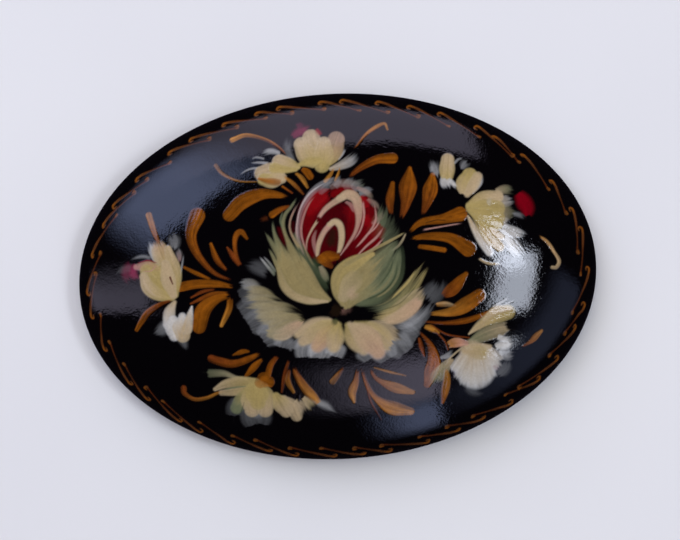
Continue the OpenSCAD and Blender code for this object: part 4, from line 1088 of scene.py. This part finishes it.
class Nodes:
    """A material's node tree, with short calls for the nodes used here."""

    def __init__(self, name):
        self.material = bpy.data.materials.new(name)
        self.material.use_nodes = True
        self.tree = self.material.node_tree
        self.shader = self.tree.nodes["Principled BSDF"]
        self.place = self.add("ShaderNodeTexCoord").outputs["Object"]

    def add(self, kind, **settings):
        node = self.tree.nodes.new(kind)
        for key, value in settings.items():
            setattr(node, key, value)
        return node

    def join(self, out, socket):
        self.tree.links.new(out, socket)

    def attribute(self, name, output="Fac"):
        return self.add("ShaderNodeAttribute", attribute_name=name).outputs[output]

    def noise(self, size_mm, detail=3.0, stretch=(1, 1, 1)):
        """Noise with features about size_mm across, longer where stretch is above 1."""
        mapping = self.add("ShaderNodeMapping")
        mapping.inputs["Scale"].default_value = [1 / (size_mm * MM * k) for k in stretch]
        self.join(self.place, mapping.inputs["Vector"])
        node = self.add("ShaderNodeTexNoise")
        node.inputs["Scale"].default_value = 1.0
        node.inputs["Detail"].default_value = detail
        self.join(mapping.outputs["Vector"], node.inputs["Vector"])
        return node.outputs["Fac"]

    def ramp(self, value, low, high, out_low, out_high):
        node = self.add("ShaderNodeMapRange")
        for socket, number in zip(("From Min", "From Max", "To Min", "To Max"),
                                  (low, high, out_low, out_high)):
            node.inputs[socket].default_value = number
        self.join(value, node.inputs["Value"])
        return node.outputs["Result"]

    def math(self, operation, a, b):
        node = self.add("ShaderNodeMath", operation=operation)
        for socket, value in zip(node.inputs, (a, b)):
            if isinstance(value, (int, float)):
                socket.default_value = value
            else:
                self.join(value, socket)
        return node.outputs["Value"]

    def mix(self, factor, a, b, blend="MIX"):
        node = self.add("ShaderNodeMix", data_type="RGBA", blend_type=blend)
        for socket, value in zip((node.inputs[0], node.inputs[6], node.inputs[7]),
                                 (factor, a, b)):
            if isinstance(value, (int, float)):
                socket.default_value = value
            elif isinstance(value, (tuple, list, np.ndarray)):
                socket.default_value = (*value, 1)
            else:
                self.join(value, socket)
        return node.outputs[2]

    def bump(self, height, depth_mm, normal=None):
        node = self.add("ShaderNodeBump")
        node.inputs["Strength"].default_value = 1.0
        node.inputs["Distance"].default_value = depth_mm * MM
        self.join(height, node.inputs["Height"])
        if normal is not None:
            self.join(normal, node.inputs["Normal"])
        return node.outputs["Normal"]

    def set(self, **values):
        for name, value in values.items():
            self.shader.inputs[name.replace("_", " ")].default_value = value


def painted_lacquer():
    """Paint under clear lacquer on a black ground, with painted highlights in the bronze paint."""
    n = Nodes("painted_lacquer")
    pigment = n.ramp(n.noise(0.3, 4), 0.3, 0.7, 0.92, 1.06)
    shade = n.add("ShaderNodeCombineColor")
    for channel in shade.inputs:
        n.join(pigment, channel)
    colour = n.mix(1.0, n.attribute("paint", "Color"), shade.outputs["Color"], "MULTIPLY")
    # the bronze paint's flakes as brighter specks: the flakes are real, and their highlights are
    # painted into the colour as painted highlights rather than made by metal
    painted_speckle = n.ramp(n.noise(0.08, 2), 0.62, 0.75, 0.0, 0.35)
    painted_glint = n.math("MULTIPLY", painted_speckle, n.attribute("gold"))
    n.join(n.mix(painted_glint, colour, tuple(PAINTS["gold"] * 1.5)), n.shader.inputs["Base Color"])
    n.join(n.ramp(n.attribute("cover"), 0, 1, 0.35, 0.55), n.shader.inputs["Roughness"])
    dust = n.bump(n.ramp(n.noise(0.5, 1), 0.66, 0.8, 0, 1), 0.004)
    wrinkles = n.bump(n.noise(0.28, 3), 0.010, dust)
    n.join(n.bump(n.noise(1.8, 2), 0.010, wrinkles), n.shader.inputs["Coat Normal"])
    n.join(n.bump(n.noise(0.16, 3), 0.01), n.shader.inputs["Normal"])
    n.set(Specular_IOR_Level=0.0, Coat_Weight=1.0, Coat_Roughness=0.04, Coat_IOR=1.5)
    return n.material


def back_lacquer():
    """Black lacquer on the board: thinner, duller and scuffed."""
    n = Nodes("back_lacquer")
    smear = n.noise(4.0, 4)
    scuff = n.noise(0.5, 4, (6, 1, 1))
    n.join(n.mix(n.ramp(scuff, 0.55, 0.75, 0, 0.5), PAINTS["ground"], (0.02, 0.016, 0.014)),
           n.shader.inputs["Base Color"])
    n.join(n.math("ADD", n.ramp(smear, 0.3, 0.7, 0.22, 0.4),
                  n.ramp(scuff, 0.5, 0.8, 0, 0.2)), n.shader.inputs["Roughness"])
    n.join(n.bump(n.noise(0.6, 3), 0.01), n.shader.inputs["Normal"])
    n.set(Coat_Weight=0.3, Coat_Roughness=0.2)
    return n.material


def plated_metal(name, colour, roughness, stretch):
    """Plated or drawn metal with fine marks along one direction and duller patches."""
    n = Nodes(name)
    lines = n.noise(0.08, 3, stretch)
    patch = n.noise(1.6, 3)
    n.join(n.mix(n.ramp(patch, 0.45, 0.75, 0, 0.5), colour, tuple(0.7 * c for c in colour)),
           n.shader.inputs["Base Color"])
    n.join(n.math("ADD", n.ramp(lines, 0.3, 0.7, roughness - 0.06, roughness + 0.08),
                  n.ramp(patch, 0.5, 0.8, 0, 0.15)), n.shader.inputs["Roughness"])
    n.join(n.bump(lines, 0.004), n.shader.inputs["Normal"])
    n.set(Metallic=1.0)
    return n.material


def plain_floor():
    """Matt pale board whose colour varies faintly."""
    n = Nodes("floor")
    n.join(n.mix(n.ramp(n.noise(60, 2), 0.3, 0.7, 0, 1), (0.67, 0.66, 0.635), (0.70, 0.69, 0.66)),
           n.shader.inputs["Base Color"])
    n.set(Roughness=0.9, Specular_IOR_Level=0.2)
    return n.material


def dress(node, material):
    """Gives a CAD node one material."""
    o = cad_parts[node]
    o.data.materials.clear()
    o.data.materials.append(material)


# ---------------------------------------------------------------- studio

VIEW_WIDTH = 89.4             # mm seen across the picture at the widest line
EYE = 300.0                   # height of the camera above the floor, mm
TURN = 3.26                   # the oval's tilt in the picture, degrees
AIM = (0.34, 0.82)            # the picture's middle on the brooch, mm
PANEL_DISTANCE = 0.6          # from the brooch to each panel that it reflects, m
FLOOR_HALF = 0.5              # half the side of the square floor, m
KEY_PLACE, KEY_SIZE, KEY_RADIANCE = (-0.2, 0.45, 0.72), (0.8, 0.8), 1.9
ROOM_SEEN = (0.56, 0.57, 0.60, 1)          # the room behind the floor's edge
ROOM_MIRRORED = (0.010, 0.008, 0.014, 1)   # the room as the lacquer mirrors it
ROOM_LIGHT = (0.30, 0.30, 0.31, 1)         # the room's soft light on matt surfaces

# the panels: azimuth from +X, angle off the zenith, width and height as angles, brightness,
# tint, and how softly they fade at their clockwise, anticlockwise, far and near sides
VIOLET, SKY, PALE = (0.80, 0.74, 1.0), (0.50, 0.60, 1.0), (0.80, 0.86, 1.0)
PANELS = {
    "back_wall": (96, 68, 72, 46, 1.35, VIOLET, (0.06, 0.5, 0.2, 0.02)),
    "back_left_wall": (134, 61, 48, 54, 2.9, SKY, (0.45, 0.35, 0.5, 0.05)),
    "left_wall": (179, 62, 20, 56, 1.3, VIOLET, (0.7, 0.02, 0.3, 0.1)),
    "window_top": (14, 31.5, 18, 7, 10.0, PALE, (0.05, 0.25, 0.1, 0.1)),
    "window_foot": (-8, 34.0, 20, 12, 10.0, PALE, (0.05, 0.05, 0.1, 0.1)),
    "low_window": (-42, 44, 7, 8, 5.0, PALE, (0.2, 0.2, 0.3, 0.2)),
    "right_wall": (-40, 58, 62, 40, 0.5, SKY, (0.5, 0.1, 0.3, 0.4)),
    "front_strip": (275, 37, 28, 30, 1.9, VIOLET, (0.9, 0.03, 0.3, 0.3)),
    "front_foot": (282, 66, 15, 44, 2.2, SKY, (0.7, 0.02, 0.5, 0.3)),
}


def add_camera():
    """A camera straight above the brooch, turned so that the oval leans a little."""
    data = bpy.data.cameras.new("camera")
    data.sensor_width = 36
    data.lens = data.sensor_width * (EYE - RIM_Z) / VIEW_WIDTH
    data.clip_start = 0.01
    camera = bpy.data.objects.new("camera", data)
    camera.location = (AIM[0] * MM, AIM[1] * MM, EYE * MM)
    camera.rotation_euler = (0, 0, -math.radians(TURN))
    bpy.context.scene.collection.objects.link(camera)
    bpy.context.scene.camera = camera


def fade_edges(data, fades):
    """Let a panel's brightness fade towards its sides, each by its own share of the panel."""
    data.use_nodes = True
    tree = data.node_tree
    spot = tree.nodes.new("ShaderNodeNewGeometry")
    axes = tree.nodes.new("ShaderNodeSeparateXYZ")
    tree.links.new(spot.outputs["Parametric"], axes.inputs["Vector"])
    strength = 1.0
    for axis, begin, end in (("X", 0, fades[0]), ("X", 1, 1 - fades[1]),
                             ("Y", 0, fades[2]), ("Y", 1, 1 - fades[3])):
        ease = tree.nodes.new("ShaderNodeMapRange")
        ease.interpolation_type = "SMOOTHSTEP"
        tree.links.new(axes.outputs[axis], ease.inputs["Value"])
        low, high = sorted((begin, end))
        ease.inputs["From Min"].default_value = low
        ease.inputs["From Max"].default_value = high
        ease.inputs["To Min"].default_value = 0 if begin < end else 1
        ease.inputs["To Max"].default_value = 1 if begin < end else 0
        join = tree.nodes.new("ShaderNodeMath")
        join.operation = "MULTIPLY"
        tree.links.new(ease.outputs["Result"], join.inputs[0])
        if isinstance(strength, float):
            join.inputs[1].default_value = strength
        else:
            tree.links.new(strength, join.inputs[1])
        strength = join.outputs["Value"]
    tree.links.new(strength, tree.nodes["Emission"].inputs["Strength"])


def add_light(name, place, size, radiance, colour, glossy=True):
    """A rectangular soft light that faces the brooch, given by how bright its face is."""
    data = bpy.data.lights.new(name, "AREA")
    data.shape = "RECTANGLE"
    data.size, data.size_y = size
    data.energy = radiance * math.pi * size[0] * size[1]
    data.color = colour
    lamp = bpy.data.objects.new(name, data)
    lamp.location = place
    lamp.rotation_euler = (-Vector(place)).to_track_quat("-Z", "Y").to_euler()
    lamp.visible_glossy = glossy
    lamp.visible_camera = False
    bpy.context.scene.collection.objects.link(lamp)
    return data


def add_lights():
    """The key light, which the lacquer does not mirror, and the panels, which it does."""
    add_light("key", KEY_PLACE, KEY_SIZE, KEY_RADIANCE, (1, 0.98, 0.95), glossy=False)
    for name, (azimuth, off, width, height, radiance, tint, fades) in PANELS.items():
        turn, lean = math.radians(azimuth), math.radians(off)
        place = PANEL_DISTANCE * Vector((math.cos(turn) * math.sin(lean),
                                         math.sin(turn) * math.sin(lean), math.cos(lean)))
        size = [2 * PANEL_DISTANCE * math.tan(math.radians(angle) / 2)
                for angle in (width, height)]
        fade_edges(add_light(name, place, size, radiance, tint), fades)


def add_world():
    """A room that is pale to the camera, grey to matt surfaces and nearly black in reflections."""
    world = bpy.data.worlds.new("room")
    bpy.context.scene.world = world
    world.use_nodes = True
    tree = world.node_tree
    pale = tree.nodes["Background"]
    pale.inputs["Color"].default_value = ROOM_SEEN
    dark = tree.nodes.new("ShaderNodeBackground")
    dark.inputs["Color"].default_value = ROOM_MIRRORED
    soft = tree.nodes.new("ShaderNodeBackground")
    soft.inputs["Color"].default_value = ROOM_LIGHT
    rays = tree.nodes.new("ShaderNodeLightPath")
    result = dark
    for ray, background in (("Is Diffuse Ray", soft), ("Is Camera Ray", pale)):
        blend = tree.nodes.new("ShaderNodeMixShader")
        tree.links.new(rays.outputs[ray], blend.inputs["Fac"])
        tree.links.new(result.outputs[0], blend.inputs[1])
        tree.links.new(background.outputs[0], blend.inputs[2])
        result = blend
    tree.links.new(result.outputs[0], tree.nodes["World Output"].inputs["Surface"])


def add_floor():
    """The floor, kept out of the reflections so that the rim stays dark."""
    corners = [(FLOOR_HALF * x, FLOOR_HALF * y, 0) for x, y in ((-1, -1), (1, -1), (1, 1), (-1, 1))]
    mesh = bpy.data.meshes.new("floor")
    mesh.from_pydata(corners, [], [(0, 1, 2, 3)])
    floor = bpy.data.objects.new("floor", mesh)
    mesh.materials.append(plain_floor())
    floor.visible_glossy = False
    bpy.context.scene.collection.objects.link(floor)


# ---------------------------------------------------------------- the whole scene

add_camera()
add_lights()
add_world()
add_floor()

dome = build_dome(paint_all())
dome.data.materials.append(painted_lacquer())
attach(dome, "brooch")
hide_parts("dome_shell")

nickel = plated_metal("nickel_plate", (0.66, 0.64, 0.60), 0.28, (8, 1, 1))
steel = plated_metal("spring_steel", (0.56, 0.57, 0.58), 0.22, (14, 1, 1))
dress("back_board", back_lacquer())
for node in ("pin_bar", "fixing_rivets", "catch_housing", "safety_lock"):
    dress(node, nickel)
for node in ("hinge_rivet", "needle"):
    dress(node, steel)

bpy.context.scene.view_settings.view_transform = "Standard"
